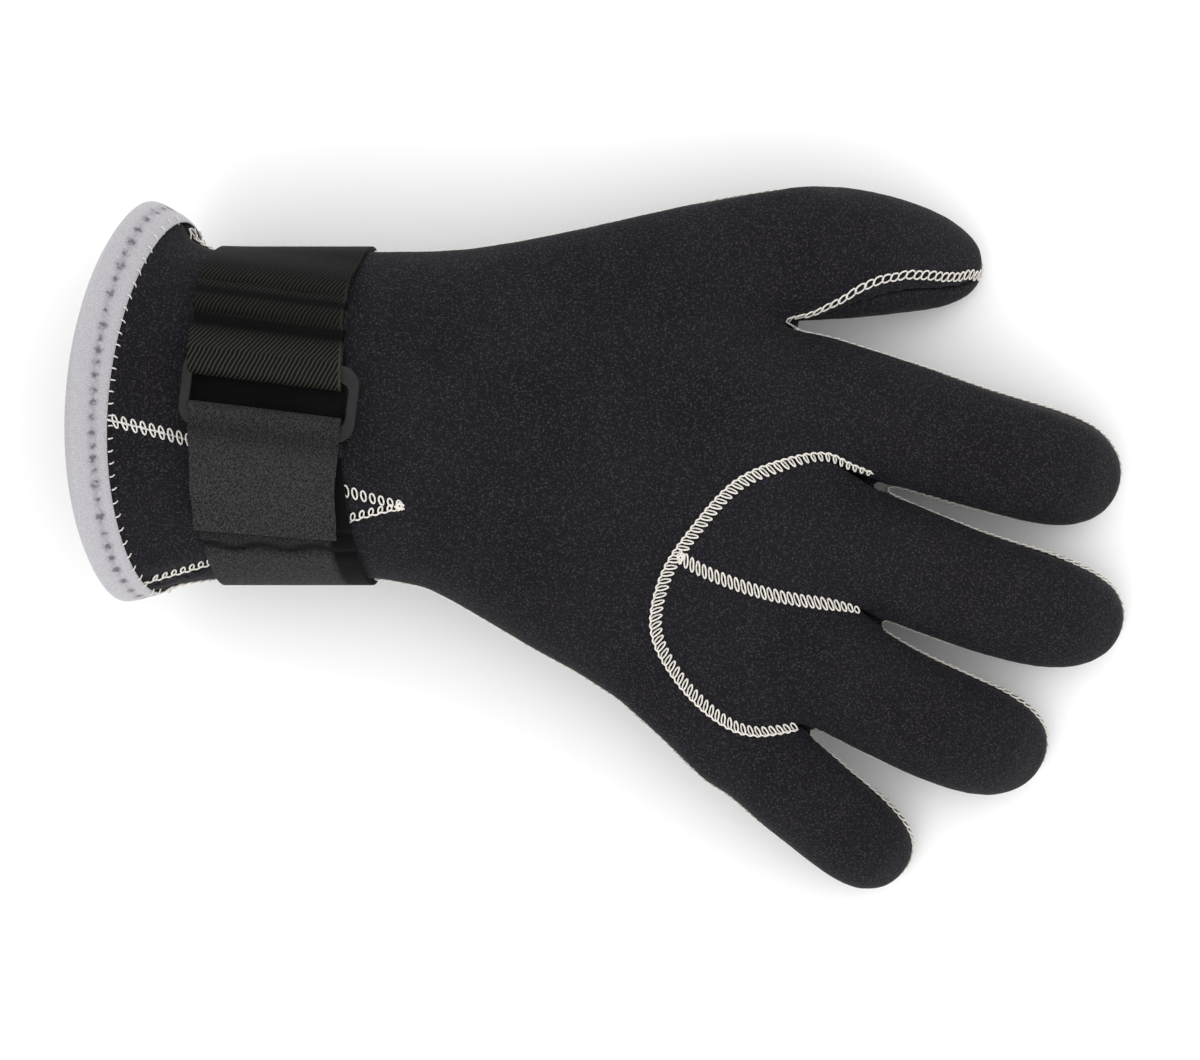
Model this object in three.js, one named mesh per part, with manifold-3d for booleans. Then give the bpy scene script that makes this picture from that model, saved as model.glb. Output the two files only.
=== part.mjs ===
// A right-hand diving glove of 3 mm neoprene, lying palm down. The hand is a hollow sewn from a
// palm panel and four panels on the back. Its cuff is bound, and a strap closes the wrist through
// a flat ring. Millimetres: +X runs from the cuff to the fingers, +Y to the thumb, +Z up.
// Until the last lines, x is 0 at the strap's finger-side edge and y is 0 on the wrist's axis.
import * as THREE from "three";
import { mergeVertices } from "three/addons/utils/BufferGeometryUtils.js";
import Module from "manifold-3d";

const wasm = await Module();
wasm.setup();
const { lerp, clamp, degToRad, radToDeg } = THREE.MathUtils;

// Sheet and clearance
const WALL = 3; // neoprene sheet
const GAP = 0.3; // between neighbouring pieces
const REST_FLAT = 0.7; // how far the floor presses the underside flat

// Wrist and cuff, outside sizes of the neoprene
const WRIST_WIDTH = 81;
const WRIST_DEPTH = 54;
const WRIST_LIFT = 7; // floor to the underside of the wrist
const WRIST_LEAN = 13; // degrees that the wrist's sections lean back, the back of the hand first
const CUFF_WIDTH = 98;
const CUFF_DEPTH = 70;
const CUFF_LENGTH = 21; // strap to cuff edge, at mid depth
const CUFF_LEAN = 19.5;
const PALM_SIDE_LEAN = 0.4; // how much of the lean the underside has
const CUFF_TURN = 4; // degrees that the cuff's edge is turned, the thumb side towards the fingers
const CUFF_SHIFT = 3.5; // how far the cuff's edge lies towards the thumb from the wrist's axis

// Palm, from the strap to the fork of the first two fingers
const PALM_LENGTH = 123;
const PALM_WIDTH = 116;
const PALM_DEPTH = 50;

// Forks between the digits
const FORK_DEPTH = 15; // back to palm, at the fork
const FORK_SETBACK = 4; // how far the fork's upper and lower ends stay behind its middle
const FORK_AHEAD = 0.7; // share of the way to the digits' first sections that the seams run on past it

// Cuff binding
const BINDING_WIDTH = 9.2; // seen from above
const BINDING_THICKNESS = 1;

// Wrist strap and its ring
const STRAP_WIDTH = 37;
const STRAP_TURN = 7; // degrees that the ring and the folded ends are turned on the wrist
const WEBBING_THICKNESS = 1.4;
const TAIL_THICKNESS = 1.6;
const TAIL_LENGTH = 30; // ring's slot to the free end, seen from above
const FOLD_BACK_LENGTH = 15; // ring to the sewn end of the webbing, seen from above
const RING_CENTRE = 3.9; // from the wrist's axis towards the thumb
const RING_HEIGHT = 19; // along the strap
const RING_BAR = 4.5; // bars that the strap runs round
const RING_END_BAR = 2.8;
const RING_CLEARANCE = 1.4; // beside the strap, in the ring
const RING_THICKNESS = 2.6;
const RING_CORNER = 5;
const RING_EDGE = 0.9; // bevel of its edges
const WEBBING_ROOT = -65; // degrees round the wrist from the thumb side, where the webbing is sewn
const TAIL_ROOT = 245;
const FOLD_STEP = 5; // degrees in which the webbing steps up over its sewn end
const FOLD_SLACK = 2; // degrees between that step and the sewn end
const BAR_RAMP = 6; // length in which the strap comes down from the ring's bar

// Forks, as shares of PALM_LENGTH and PALM_WIDTH from the strap's edge and the wrist's axis, and
// how far apart they hold the bases of their digits.
const FORKS = {
  thumbIndex: { along: 0.822, across: 0.202, opening: 0 },
  indexMiddle: { along: 1, across: -0.139, opening: 1.2 },
  middleRing: { along: 1, across: -0.423, opening: 0 },
  ringLittle: { along: 0.873, across: -0.669, opening: 0 },
};

// Digits: length from the middle of the base to the tip, width at the base, depth as a share of
// the width, heading in degrees from +X towards +Y, sway as the sideways bow towards the little
// finger in shares of the length, and roll as the turn about its own axis in degrees.
const DIGITS = {
  thumb: { length: 53.5, width: 34, depth: 0.8, heading: -1.8, sway: -0.03, roll: 48 },
  index: { length: 65, width: 31.5, depth: 0.8, heading: -15, sway: 0.015, roll: -10 },
  middle: { length: 71, width: 31, depth: 0.8, heading: -17.2, sway: 0.03, roll: -12 },
  ring: { length: 60.5, width: 30.5, depth: 0.8, heading: -23.7, sway: 0.037, roll: -14 },
  little: { length: 45.5, width: 25.5, depth: 0.84, heading: -39, sway: 0.02, roll: -14 },
};

// Sections along a digit: along is a share of its length, width of its width, sink is how much of
// the way down to the floor it has come, and roll is the share of the digit's roll.
const FINGER_SECTIONS = [
  { along: 0.15, width: 1, sink: 0.08, roll: 0.1 },
  { along: 0.4, width: 0.96, sink: 0.36, roll: 0.4 },
  { along: 0.64, width: 0.94, sink: 0.72, roll: 0.8 },
  { along: 0.84, width: 0.82, sink: 0.96, roll: 1 },
  { along: 0.955, width: 0.5, sink: 1, roll: 1 },
];
const THUMB_SECTIONS = [
  { along: 0.17, width: 1, sink: 0.1, roll: 0.3 },
  { along: 0.38, width: 0.94, sink: 0.4, roll: 0.75 },
  { along: 0.6, width: 0.83, sink: 0.75, roll: 1 },
  { along: 0.81, width: 0.65, sink: 1, roll: 1 },
  { along: 0.945, width: 0.37, sink: 1, roll: 1 },
];

// Sections at the cuff's edge and at the binding's inner edge: along is a share of CUFF_LENGTH,
// spread the share of the way from the wrist's size to the cuff's, and lean is in degrees.
const CUFF_SECTIONS = [
  { along: 1, spread: 1, lean: CUFF_LEAN },
  { along: 1 - (BINDING_WIDTH - GAP - BINDING_THICKNESS) / CUFF_LENGTH, spread: 0.6, lean: CUFF_LEAN + 2 },
];
// The straight stretch under the strap, in shares of the strap's width from its front edge
const STRAP_STRETCH = { front: -0.06, back: 1.06, margin: 0.01 };

// Sections of the palm: the edges are [along, across] as shares of PALM_LENGTH and PALM_WIDTH,
// floor and crown are shares of PALM_DEPTH, fan is how far the finger columns have spread, bow
// carries the middle towards the fingers as a share of PALM_LENGTH, and lean is in degrees.
const PALM_SECTIONS = [
  { thumb: [0.2, 0.358], little: [0.17, -0.402], floor: 0.12, crown: 1.11, fan: 0.15, bow: 0, lean: 8 },
  { thumb: [0.42, 0.403], little: [0.33, -0.505], floor: 0.11, crown: 1.01, fan: 0.5, bow: 0.02, lean: 5 },
  { thumb: [0.64, 0.458], little: [0.5, -0.614], floor: 0.12, crown: 0.92, fan: 0.82, bow: 0.04, lean: 3 },
];
// The section where the thumb parts, the one behind the fingers, and the one at their forks
const THUMB_FORK = { little: [0.657, -0.774], floor: 0.15, crown: 0.84, bow: 0.07 };
const KNUCKLES = { share: 0.5, floor: 0.16, crown: 0.8 };
const FINGER_FORKS = { floor: 0.18, crown: 0.74 };

// Seams of the back, as shares of PALM_LENGTH and PALM_WIDTH between two forks
const KNUCKLE_SEAM = [
  { along: 0.914, across: -0.09 },
  { along: 0.833, across: -0.107 },
  { along: 0.735, across: -0.154 },
  { along: 0.65, across: -0.253 },
  { along: 0.593, across: -0.348 },
  { along: 0.574, across: -0.462 },
  { along: 0.623, across: -0.566 },
  { along: 0.7, across: -0.647 },
  { along: 0.773, across: -0.68 },
];
const BRANCH_SEAM = [
  { along: 0.666, across: -0.333 },
  { along: 0.755, across: -0.37 },
  { along: 0.841, across: -0.393 },
  { along: 0.948, across: -0.41 },
];
const BRANCH_START = 0.46; // share of the knuckle seam's length

// The cuff's gusset: a V with its point past the strap. along is a share of the length from the
// point to the cuff's edge, across of CUFF_WIDTH.
const GUSSET_POINT = { along: 0.07, across: -0.195 }; // shares of PALM_LENGTH and PALM_WIDTH
const GUSSET_UPPER = [
  { along: 0.18, across: -0.195 },
  { along: 0.72, across: -0.055 },
  { along: 1.2, across: 0.03 },
];
const GUSSET_LOWER = [
  { along: 0.18, across: -0.265 },
  { along: 0.7, across: -0.395 },
  { along: 1.2, across: -0.505 },
];

// Counts of points
const RING_POINTS = 24; // round the palm
const COLUMN = { thumbIndex: 3, indexMiddle: 5, middleRing: 7, ringLittle: 9 };
const EDGE_COLUMN = 0.15; // share of the way to the first fork, or of a digit, at the hand's edges
const SEAM_STEPS = 4; // for each point of a seam's table
const FIT_ROUNDS = 6;
const STRAP_SLICES = 2;
const LONG_ARC_STEPS = 16; // round the side of the wrist
const SHORT_ARC_STEPS = 6; // on the back of the wrist
const LOOP_STEPS = 6;

const NEOPRENE = new THREE.MeshStandardMaterial({ color: 0x1d1b20, roughness: 0.9, metalness: 0 });
const GREY_BINDING = new THREE.MeshStandardMaterial({ color: 0x8d8c90, roughness: 0.85, metalness: 0 });
const WEBBING = new THREE.MeshStandardMaterial({ color: 0x23231f, roughness: 0.8, metalness: 0 });
const HOOK_AND_LOOP = new THREE.MeshStandardMaterial({ color: 0x3b3b3d, roughness: 1, metalness: 0 });
const PLASTIC = new THREE.MeshStandardMaterial({ color: 0x101011, roughness: 0.4, metalness: 0 });

// Points in plan and in space
const onPalm = ({ along, across }) => new THREE.Vector2(along * PALM_LENGTH, across * PALM_WIDTH);
const edgeOnPalm = ([along, across]) => onPalm({ along, across });
const lift = (plan, z) => new THREE.Vector3(plan.x, plan.y, z);
const between = (a, b, share) => a.clone().lerp(b, share);
const slope = (degrees) => Math.tan(degToRad(degrees));

// How far a leaning section's point stands back, at a height above its middle
function leanBack(degrees, height, half) {
  const share = clamp(height / half, -1, 1);
  const even = ((1 + PALM_SIDE_LEAN) / 2) * share;
  const crowned = ((1 - PALM_SIDE_LEAN) / 2) * share ** 2;
  return -slope(degrees) * half * (even + crowned);
}
const WRIST_MIDDLE = WRIST_LIFT + WRIST_DEPTH / 2;
const wristLean = (z) => leanBack(WRIST_LEAN, z - WRIST_MIDDLE, WRIST_DEPTH / 2);

// The height of a section's outline above its middle, at a share across it, for a half height of 1
function bulge(across, power) {
  return (1 - Math.abs(2 * across - 1) ** power) ** (1 / power);
}

// Where the columns of a section lie, from the thumb's side to the little finger's: evenly round
// an ellipse at the wrist, and on the forks and digits at the knuckles.
function evenColumns() {
  const half = RING_POINTS / 2;
  return Array.from({ length: half + 1 }, (_, i) => (1 - Math.cos((Math.PI * i) / half)) / 2);
}
function fingerColumns() {
  const thumbEdge = digitBase("thumb").left.y;
  const littleEdge = digitBase("little").right.y;
  const share = (name) => (thumbEdge - onPalm(FORKS[name]).y) / (thumbEdge - littleEdge);
  const forks = Object.keys(FORKS).map(share);
  const columns = [0, forks[0] * EDGE_COLUMN, forks[0] / 2];
  forks.forEach((fork, i) => {
    const next = i + 1 < forks.length ? forks[i + 1] : 1;
    columns.push(fork, (fork + next) / 2);
  });
  columns.push(1 - (1 - forks[3]) * EDGE_COLUMN, 1);
  return columns;
}

// A digit's axis and side directions in plan, and the two ends and middle of its base
function digitAxes(name) {
  const heading = degToRad(DIGITS[name].heading);
  const ahead = new THREE.Vector2(Math.cos(heading), Math.sin(heading));
  return { ahead, left: new THREE.Vector2(-ahead.y, ahead.x) };
}
function digitBase(name) {
  const { width } = DIGITS[name];
  const { left: side } = digitAxes(name);
  const beside = {
    thumb: [null, "thumbIndex"],
    index: [null, "indexMiddle"],
    middle: ["indexMiddle", "middleRing"],
    ring: ["middleRing", "ringLittle"],
    little: ["ringLittle", null],
  };
  const forks = beside[name].map((fork, i) => {
    if (!fork) return null;
    return onPalm(FORKS[fork]).addScaledVector(side, ((i === 0 ? -1 : 1) * FORKS[fork].opening) / 2);
  });
  const left = forks[0] ?? forks[1].clone().addScaledVector(side, width);
  const right = forks[1] ?? forks[0].clone().addScaledVector(side, -width);
  return { left, right, middle: between(left, right, 0.5) };
}
function digitMiddle(name, along) {
  const { length, sway } = DIGITS[name];
  const { ahead, left } = digitAxes(name);
  return digitBase(name)
    .middle.addScaledVector(ahead, along * length)
    .addScaledVector(left, -sway * length * Math.sin(Math.PI * along));
}

// The cage: points and four-sided faces, each face on the back or on the palm of the glove
const cage = { points: [], faces: [] };
function addPoint(point) {
  return cage.points.push(point) - 1;
}
// Joins two rings of the same count. The first half of each ring lies on the back.
function joinRings(from, to) {
  from.forEach((_, i) => {
    const j = (i + 1) % from.length;
    const side = i < from.length / 2 ? "back" : "palm";
    cage.faces.push({ corners: [from[i], from[j], to[j], to[i]], side });
  });
}

// A whole ring from its upper half: the plan positions and heights go from the thumb's side over
// the back to the other side, and the lower half mirrors them about the middle height.
function ringFrom(plans, middle, heights, lean = 0) {
  const half = Math.max(...heights);
  const at = (plan, height) =>
    lift(new THREE.Vector2(plan.x + leanBack(lean, height, half), plan.y), middle + height);
  const upper = plans.map((plan, i) => addPoint(at(plan, heights[i])));
  const lower = plans.slice(1, -1).map((plan, i) => addPoint(at(plan, -heights[i + 1])));
  return [...upper, ...lower.reverse()];
}

function ellipseRing({ x, width, depth, floor, lean, turn = 0, shift = 0 }) {
  const columns = evenColumns();
  const plans = columns.map((share) => {
    const y = (0.5 - share) * width;
    return new THREE.Vector2(x + slope(turn) * y, y + shift);
  });
  const heights = columns.map((share) => (bulge(share, 2) * depth) / 2);
  return ringFrom(plans, floor + depth / 2, heights, lean);
}

function cuffRings() {
  const rimFloor = GAP + BINDING_THICKNESS - REST_FLAT;
  return CUFF_SECTIONS.map(({ along, spread, lean }) =>
    ellipseRing({
      x: -STRAP_WIDTH - along * CUFF_LENGTH,
      width: lerp(WRIST_WIDTH, CUFF_WIDTH, spread),
      depth: lerp(WRIST_DEPTH, CUFF_DEPTH, spread),
      floor: lerp(WRIST_LIFT, rimFloor, spread),
      lean,
      turn: CUFF_TURN,
      shift: CUFF_SHIFT * spread,
    }),
  );
}
function wristRings() {
  const wrist = { width: WRIST_WIDTH, depth: WRIST_DEPTH, floor: WRIST_LIFT, lean: WRIST_LEAN };
  return [STRAP_STRETCH.back, STRAP_STRETCH.front].map((share) =>
    ellipseRing({ x: -share * STRAP_WIDTH, ...wrist }),
  );
}
// Holds the smoothed surface under the strap to the wrist's own ellipse
function heldByStrap(point) {
  const share = (wristLean(point.z) - point.x) / STRAP_WIDTH;
  const { front, back, margin } = STRAP_STRETCH;
  if (share < front - margin || share > back + margin) return;
  const y = point.y / (WRIST_WIDTH / 2);
  const z = (point.z - WRIST_MIDDLE) / (WRIST_DEPTH / 2);
  const reach = Math.hypot(y, z);
  point.set(point.x, point.y / reach, WRIST_MIDDLE + (point.z - WRIST_MIDDLE) / reach);
}

// A section across the palm, from one edge to the other
function palmRing({ thumbEdge, littleEdge, floor, crown, fan, bow, lean, forkColumns = [] }) {
  const fingers = fingerColumns();
  const columns = evenColumns().map((share, i) => lerp(share, fingers[i], fan));
  const depth = (crown - floor) * PALM_DEPTH;
  const plans = columns.map((share) => {
    const plan = between(thumbEdge, littleEdge, share);
    plan.x += bow * PALM_LENGTH * Math.sin(Math.PI * share);
    return plan;
  });
  const power = lerp(2, 2.3, fan);
  const heights = columns.map((share) => (bulge(share, power) * depth) / 2);
  for (const { column, plan } of forkColumns) {
    plans[column] = plan;
    heights[column] = FORK_DEPTH / 2;
  }
  return ringFrom(plans, floor * PALM_DEPTH + depth / 2, heights, lean);
}
function palmRings() {
  return PALM_SECTIONS.map((row) =>
    palmRing({ ...row, thumbEdge: edgeOnPalm(row.thumb), littleEdge: edgeOnPalm(row.little) }),
  );
}

// A fork's upper and lower ends, set back from its middle against the digits' common heading
function forkEnd(fork, digits) {
  const ahead = digits.reduce((sum, name) => sum.add(digitAxes(name).ahead), new THREE.Vector2());
  return onPalm(FORKS[fork]).addScaledVector(ahead.normalize(), -FORK_SETBACK);
}
function forkMiddle(fork, upper, lower) {
  const z = (cage.points[upper].z + cage.points[lower].z) / 2;
  return addPoint(lift(onPalm(FORKS[fork]), z));
}

// A digit: its base ring is part of the palm's, in the order side, back, side, palm
function digit(name, base, sections) {
  const { width, depth, roll } = DIGITS[name];
  const { left } = digitAxes(name);
  const baseHeight = base.reduce((sum, index) => sum + cage.points[index].z, 0) / base.length;
  let previous = base;
  for (const row of sections) {
    const middle = digitMiddle(name, row.along);
    const half = (row.width * width) / 2;
    const height = lerp(baseHeight, half * depth - REST_FLAT, row.sink);
    const ring = base.map((_, i) => {
      const angle = (2 * Math.PI * i) / base.length - degToRad(roll * row.roll);
      const plan = middle.clone().addScaledVector(left, half * Math.cos(angle));
      return addPoint(lift(plan, height + half * depth * Math.sin(angle)));
    });
    joinRings(previous, ring);
    previous = ring;
  }
  const tipHeight = lerp(cage.points[previous[0]].z, cage.points[previous[base.length / 2]].z, 0.5);
  const tip = addPoint(lift(digitMiddle(name, 1), tipHeight));
  for (let i = 0; i < base.length; i += 2) {
    const corners = [previous[i], previous[i + 1], previous[(i + 2) % base.length], tip];
    cage.faces.push({ corners, side: i < base.length / 2 ? "back" : "palm" });
  }
}

function handCage() {
  const rings = [...cuffRings(), ...wristRings(), ...palmRings()];

  // The section where the thumb parts from the hand
  const thumbBase = digitBase("thumb");
  const whole = palmRing({
    ...THUMB_FORK,
    thumbEdge: thumbBase.left,
    littleEdge: edgeOnPalm(THUMB_FORK.little),
    fan: 1,
    lean: 0,
    forkColumns: [{ column: COLUMN.thumbIndex, plan: forkEnd("thumbIndex", ["thumb", "index"]) }],
  });
  rings.push(whole);
  rings.slice(1).forEach((ring, i) => joinRings(rings[i], ring));
  const opposite = (ring, column) => ring[ring.length - column];
  const first = COLUMN.thumbIndex;
  const thumbFork = forkMiddle("thumbIndex", whole[first], opposite(whole, first));
  digit("thumb", [...whole.slice(0, first + 1), thumbFork, ...whole.slice(-first)], THUMB_SECTIONS);

  // The four fingers together, up to their forks
  const start = [thumbFork, ...whole.slice(first, whole.length - first + 1)];
  const forks = fingerForkRing(start);
  const knuckles = knuckleRing(start, forks);
  joinRings(start, knuckles);
  joinRings(knuckles, forks);
  const column = (name) => COLUMN[name] - first + 1;
  const names = ["indexMiddle", "middleRing", "ringLittle"];
  const middles = names.map((name) =>
    forkMiddle(name, forks[column(name)], opposite(forks, column(name))),
  );
  const half = forks.length / 2;
  ["index", "middle", "ring", "little"].forEach((name, i) => {
    const from = i === 0 ? 1 : column(names[i - 1]);
    const to = i === 3 ? half - 1 : column(names[i]);
    const sides = [middles[i - 1] ?? forks[0], middles[i] ?? forks[half]];
    const upper = forks.slice(from, to + 1);
    const lower = forks.slice(forks.length - to, forks.length - from + 1);
    digit(name, [sides[0], ...upper, sides[1], ...lower], FINGER_SECTIONS);
  });
  return rings;
}

function fingerForkRing() {
  const index = digitBase("index");
  const little = digitBase("little");
  const floor = FINGER_FORKS.floor * PALM_DEPTH;
  const depth = FINGER_FORKS.crown * PALM_DEPTH - floor;
  const plans = [
    index.left,
    between(index.left, index.right, EDGE_COLUMN),
    index.middle,
    forkEnd("indexMiddle", ["index", "middle"]),
    digitBase("middle").middle,
    forkEnd("middleRing", ["middle", "ring"]),
    digitBase("ring").middle,
    forkEnd("ringLittle", ["ring", "little"]),
    little.middle,
    between(little.right, little.left, EDGE_COLUMN),
    little.right,
  ];
  const full = depth / 2;
  const round = Math.SQRT1_2 * full;
  const fork = FORK_DEPTH / 2;
  const littleFull = (DIGITS.little.width * DIGITS.little.depth) / 2;
  const heights = [0, round, full, fork, full, fork, full, fork, littleFull, littleFull * Math.SQRT1_2, 0];
  return ringFrom(plans, floor + full, heights);
}

function knuckleRing(start, forks) {
  const half = forks.length / 2;
  const floor = KNUCKLES.floor * PALM_DEPTH;
  const full = (KNUCKLES.crown * PALM_DEPTH - floor) / 2;
  const plan = (index) => new THREE.Vector2(cage.points[index].x, cage.points[index].y);
  const plans = [];
  const heights = [];
  for (let i = 0; i <= half; i++) {
    plans.push(between(plan(start[i]), plan(forks[i]), KNUCKLES.share));
    const behind = cage.points[start[i]].z - cage.points[start[0]].z;
    const before = cage.points[forks[i]].z - cage.points[forks[0]].z;
    heights.push(i % half === 0 ? 0 : Math.min(full, lerp(behind, before, KNUCKLES.share)));
  }
  return ringFrom(plans, floor + full, heights);
}

// Catmull-Clark subdivision, with the open edge as a curve of its own
function topology({ points, faces }) {
  const edges = new Map();
  const key = (a, b) => (a < b ? a + "_" + b : b + "_" + a);
  faces.forEach(({ corners }, f) =>
    corners.forEach((a, i) => {
      const b = corners[(i + 1) % corners.length];
      if (!edges.has(key(a, b))) edges.set(key(a, b), { ends: [a, b], faces: [] });
      edges.get(key(a, b)).faces.push(f);
    }),
  );
  const list = [...edges.values()];
  list.forEach((edge, i) => (edge.index = i));
  const ofPoint = points.map(() => ({ edges: [], faces: [] }));
  list.forEach((edge) => edge.ends.forEach((p) => ofPoint[p].edges.push(edge)));
  faces.forEach(({ corners }, f) => corners.forEach((p) => ofPoint[p].faces.push(f)));
  return { list, ofPoint, edgeOf: (a, b) => edges.get(key(a, b)) };
}
const mean = (vectors) =>
  vectors.reduce((sum, v) => sum.add(v), new THREE.Vector3()).divideScalar(vectors.length);

function smoothedPoints(points, faces, shape) {
  const facePoints = faces.map(({ corners }) => mean(corners.map((c) => points[c])));
  const edgePoints = shape.list.map(({ ends, faces: own }) =>
    mean([...ends.map((e) => points[e]), ...(own.length === 2 ? own.map((f) => facePoints[f]) : [])]),
  );
  const vertexPoints = points.map((point, i) => {
    const { edges, faces: own } = shape.ofPoint[i];
    const open = edges.filter((edge) => edge.faces.length === 1);
    if (open.length) {
      const ends = mean(open.flatMap((edge) => edge.ends.filter((e) => e !== i).map((e) => points[e])));
      return point.clone().lerp(ends, 0.25);
    }
    const count = edges.length;
    const middles = mean(edges.map(({ ends }) => mean(ends.map((e) => points[e]))));
    return mean(own.map((f) => facePoints[f]))
      .addScaledVector(middles, 2)
      .addScaledVector(point, count - 3)
      .divideScalar(count);
  });
  return { vertexPoints, edgePoints, facePoints };
}

// Pushes the cage out until its smoothed surface passes through the sections' own points, and
// returns that surface.
function smoothedSurface({ points, faces }) {
  const shape = topology({ points, faces });
  const pushed = points.map((p) => p.clone());
  for (let round = 0; round < FIT_ROUNDS; round++) {
    const { vertexPoints } = smoothedPoints(pushed, faces, shape);
    pushed.forEach((p, i) => p.add(points[i]).sub(vertexPoints[i]));
  }
  const { vertexPoints, edgePoints, facePoints } = smoothedPoints(pushed, faces, shape);
  const firstEdge = points.length;
  const firstFace = firstEdge + edgePoints.length;
  const edgeIndex = (a, b) => firstEdge + shape.edgeOf(a, b).index;
  const fine = faces.flatMap(({ corners, side }, f) =>
    corners.map((corner, i) => {
      const next = corners[(i + 1) % 4];
      const before = corners[(i + 3) % 4];
      return { corners: [corner, edgeIndex(corner, next), firstFace + f, edgeIndex(before, corner)], side };
    }),
  );
  return { points: [...vertexPoints, ...edgePoints, ...facePoints], faces: fine, edgeIndex, firstFace };
}

function pointNormals({ points, faces }) {
  const normals = points.map(() => new THREE.Vector3());
  for (const { corners } of faces) {
    const [a, b, c, d] = corners.map((i) => points[i]);
    const normal = c.clone().sub(a).cross(d.clone().sub(b));
    corners.forEach((i) => normals[i].add(normal));
  }
  return normals.map((n) => n.normalize());
}

// Solids from points and faces of three or more corners
function solidFrom(points, faces) {
  const triangles = faces.flatMap((face) => face.slice(2).map((_, i) => [face[0], face[i + 1], face[i + 2]]));
  return new wasm.Manifold(
    new wasm.Mesh({
      numProp: 3,
      vertProperties: new Float32Array(points.flatMap((p) => p.toArray())),
      triVerts: new Uint32Array(triangles.flat()),
    }),
  );
}
function solidFromGeometry(geometry) {
  geometry.deleteAttribute("normal");
  geometry.deleteAttribute("uv");
  const merged = mergeVertices(geometry, 1e-4);
  return new wasm.Manifold(
    new wasm.Mesh({
      numProp: 3,
      vertProperties: merged.attributes.position.array,
      triVerts: new Uint32Array(merged.index.array),
    }),
  );
}
function meshOf(name, solid, material) {
  const { vertProperties, triVerts } = solid.getMesh();
  const geometry = new THREE.BufferGeometry()
    .setAttribute("position", new THREE.BufferAttribute(vertProperties, 3))
    .setIndex(new THREE.BufferAttribute(triVerts, 1));
  const mesh = new THREE.Mesh(geometry, material);
  mesh.name = name;
  return mesh;
}

// Edges of one side's faces that no other face of that side shares, each with the face on its left
function borderOf(faces) {
  const directed = faces.flatMap((corners) => corners.map((a, i) => [a, corners[(i + 1) % 4]]));
  const known = new Set(directed.map(([a, b]) => a + "_" + b));
  return directed.filter(([a, b]) => !known.has(b + "_" + a));
}
const cornersOf = (surface, side) =>
  surface.faces.filter((face) => face.side === side).map((face) => face.corners);

// The direction along the surface from the seam between palm and back towards the back
function acrossSeam(surface, normals) {
  const palmPoints = new Set(cornersOf(surface, "palm").flat());
  const tangents = new Map();
  for (const [a, b] of borderOf(cornersOf(surface, "back"))) {
    if (!palmPoints.has(a) || !palmPoints.has(b)) continue;
    const tangent = surface.points[b].clone().sub(surface.points[a]).normalize();
    for (const i of [a, b]) tangents.set(i, (tangents.get(i) ?? new THREE.Vector3()).add(tangent));
  }
  return new Map([...tangents].map(([i, tangent]) => [i, normals[i].clone().cross(tangent).normalize()]));
}

// One side of the glove as a sheet of neoprene: its seam edges are drawn in by half the gap
function sheet(surface, normals, side) {
  const faces = cornersOf(surface, side);
  const across = acrossSeam(surface, normals);
  const shift = ((side === "back" ? 1 : -1) * GAP) / 2;
  const used = [...new Set(faces.flat())];
  const place = new Map(used.map((point, i) => [point, i]));
  const outer = used.map((i) =>
    surface.points[i].clone().addScaledVector(across.get(i) ?? new THREE.Vector3(), shift),
  );
  const inner = used.map((i, k) => outer[k].clone().addScaledVector(normals[i], -WALL));
  const outside = faces.map((corners) => corners.map((i) => place.get(i)));
  const inside = outside.map((corners) => corners.map((i) => i + used.length).reverse());
  // Both sides of a seam split its edge faces along the same diagonal, so they stay parallel
  const rim = borderOf(faces).map(([a, b]) => {
    const [from, to] = [place.get(a), place.get(b)];
    const [fromInner, toInner] = [from + used.length, to + used.length];
    return a > b ? [to, from, fromInner, toInner] : [from, fromInner, toInner, to];
  });
  return solidFrom([...outer, ...inner], [...outside, ...inside, ...rim]);
}

// Upright cuts of the gap's width along a seam drawn in plan
function seamCut(plans) {
  const curve = new THREE.SplineCurve(plans);
  const line = curve.getPoints(plans.length * SEAM_STEPS);
  const sides = [[], []];
  line.forEach((point, i) => {
    const tangent = (line[i + 1] ?? point).clone().sub(line[i - 1] ?? point).normalize();
    const across = new THREE.Vector2(-tangent.y, tangent.x).multiplyScalar(GAP / 2);
    sides[0].push(point.clone().add(across));
    sides[1].push(point.clone().sub(across));
  });
  const shape = new THREE.Shape([...sides[0], ...sides[1].reverse()]);
  const height = 2 * Math.max(CUFF_DEPTH, PALM_DEPTH + WRIST_DEPTH);
  return solidFromGeometry(new THREE.ExtrudeGeometry(shape, { depth: height, bevelEnabled: false }));
}
// Where the gap between two neighbouring fingers runs, ahead of their fork
function aheadOfFork(fork, leftName, rightName) {
  const facing = (name, side) => {
    const { along } = FINGER_SECTIONS[0];
    return digitMiddle(name, along).addScaledVector(digitAxes(name).left, (side * DIGITS[name].width) / 2);
  };
  const middle = between(facing(leftName, -1), facing(rightName, 1), 0.5);
  return between(onPalm(FORKS[fork]), middle, FORK_AHEAD);
}
function knuckleSeam() {
  return [
    aheadOfFork("indexMiddle", "index", "middle"),
    onPalm(FORKS.indexMiddle),
    ...KNUCKLE_SEAM.map(onPalm),
    onPalm(FORKS.ringLittle),
    aheadOfFork("ringLittle", "ring", "little"),
  ];
}
function branchSeam() {
  const start = new THREE.SplineCurve(knuckleSeam()).getPoint(BRANCH_START);
  return [
    start,
    ...BRANCH_SEAM.map(onPalm),
    onPalm(FORKS.middleRing),
    aheadOfFork("middleRing", "middle", "ring"),
  ];
}
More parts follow.
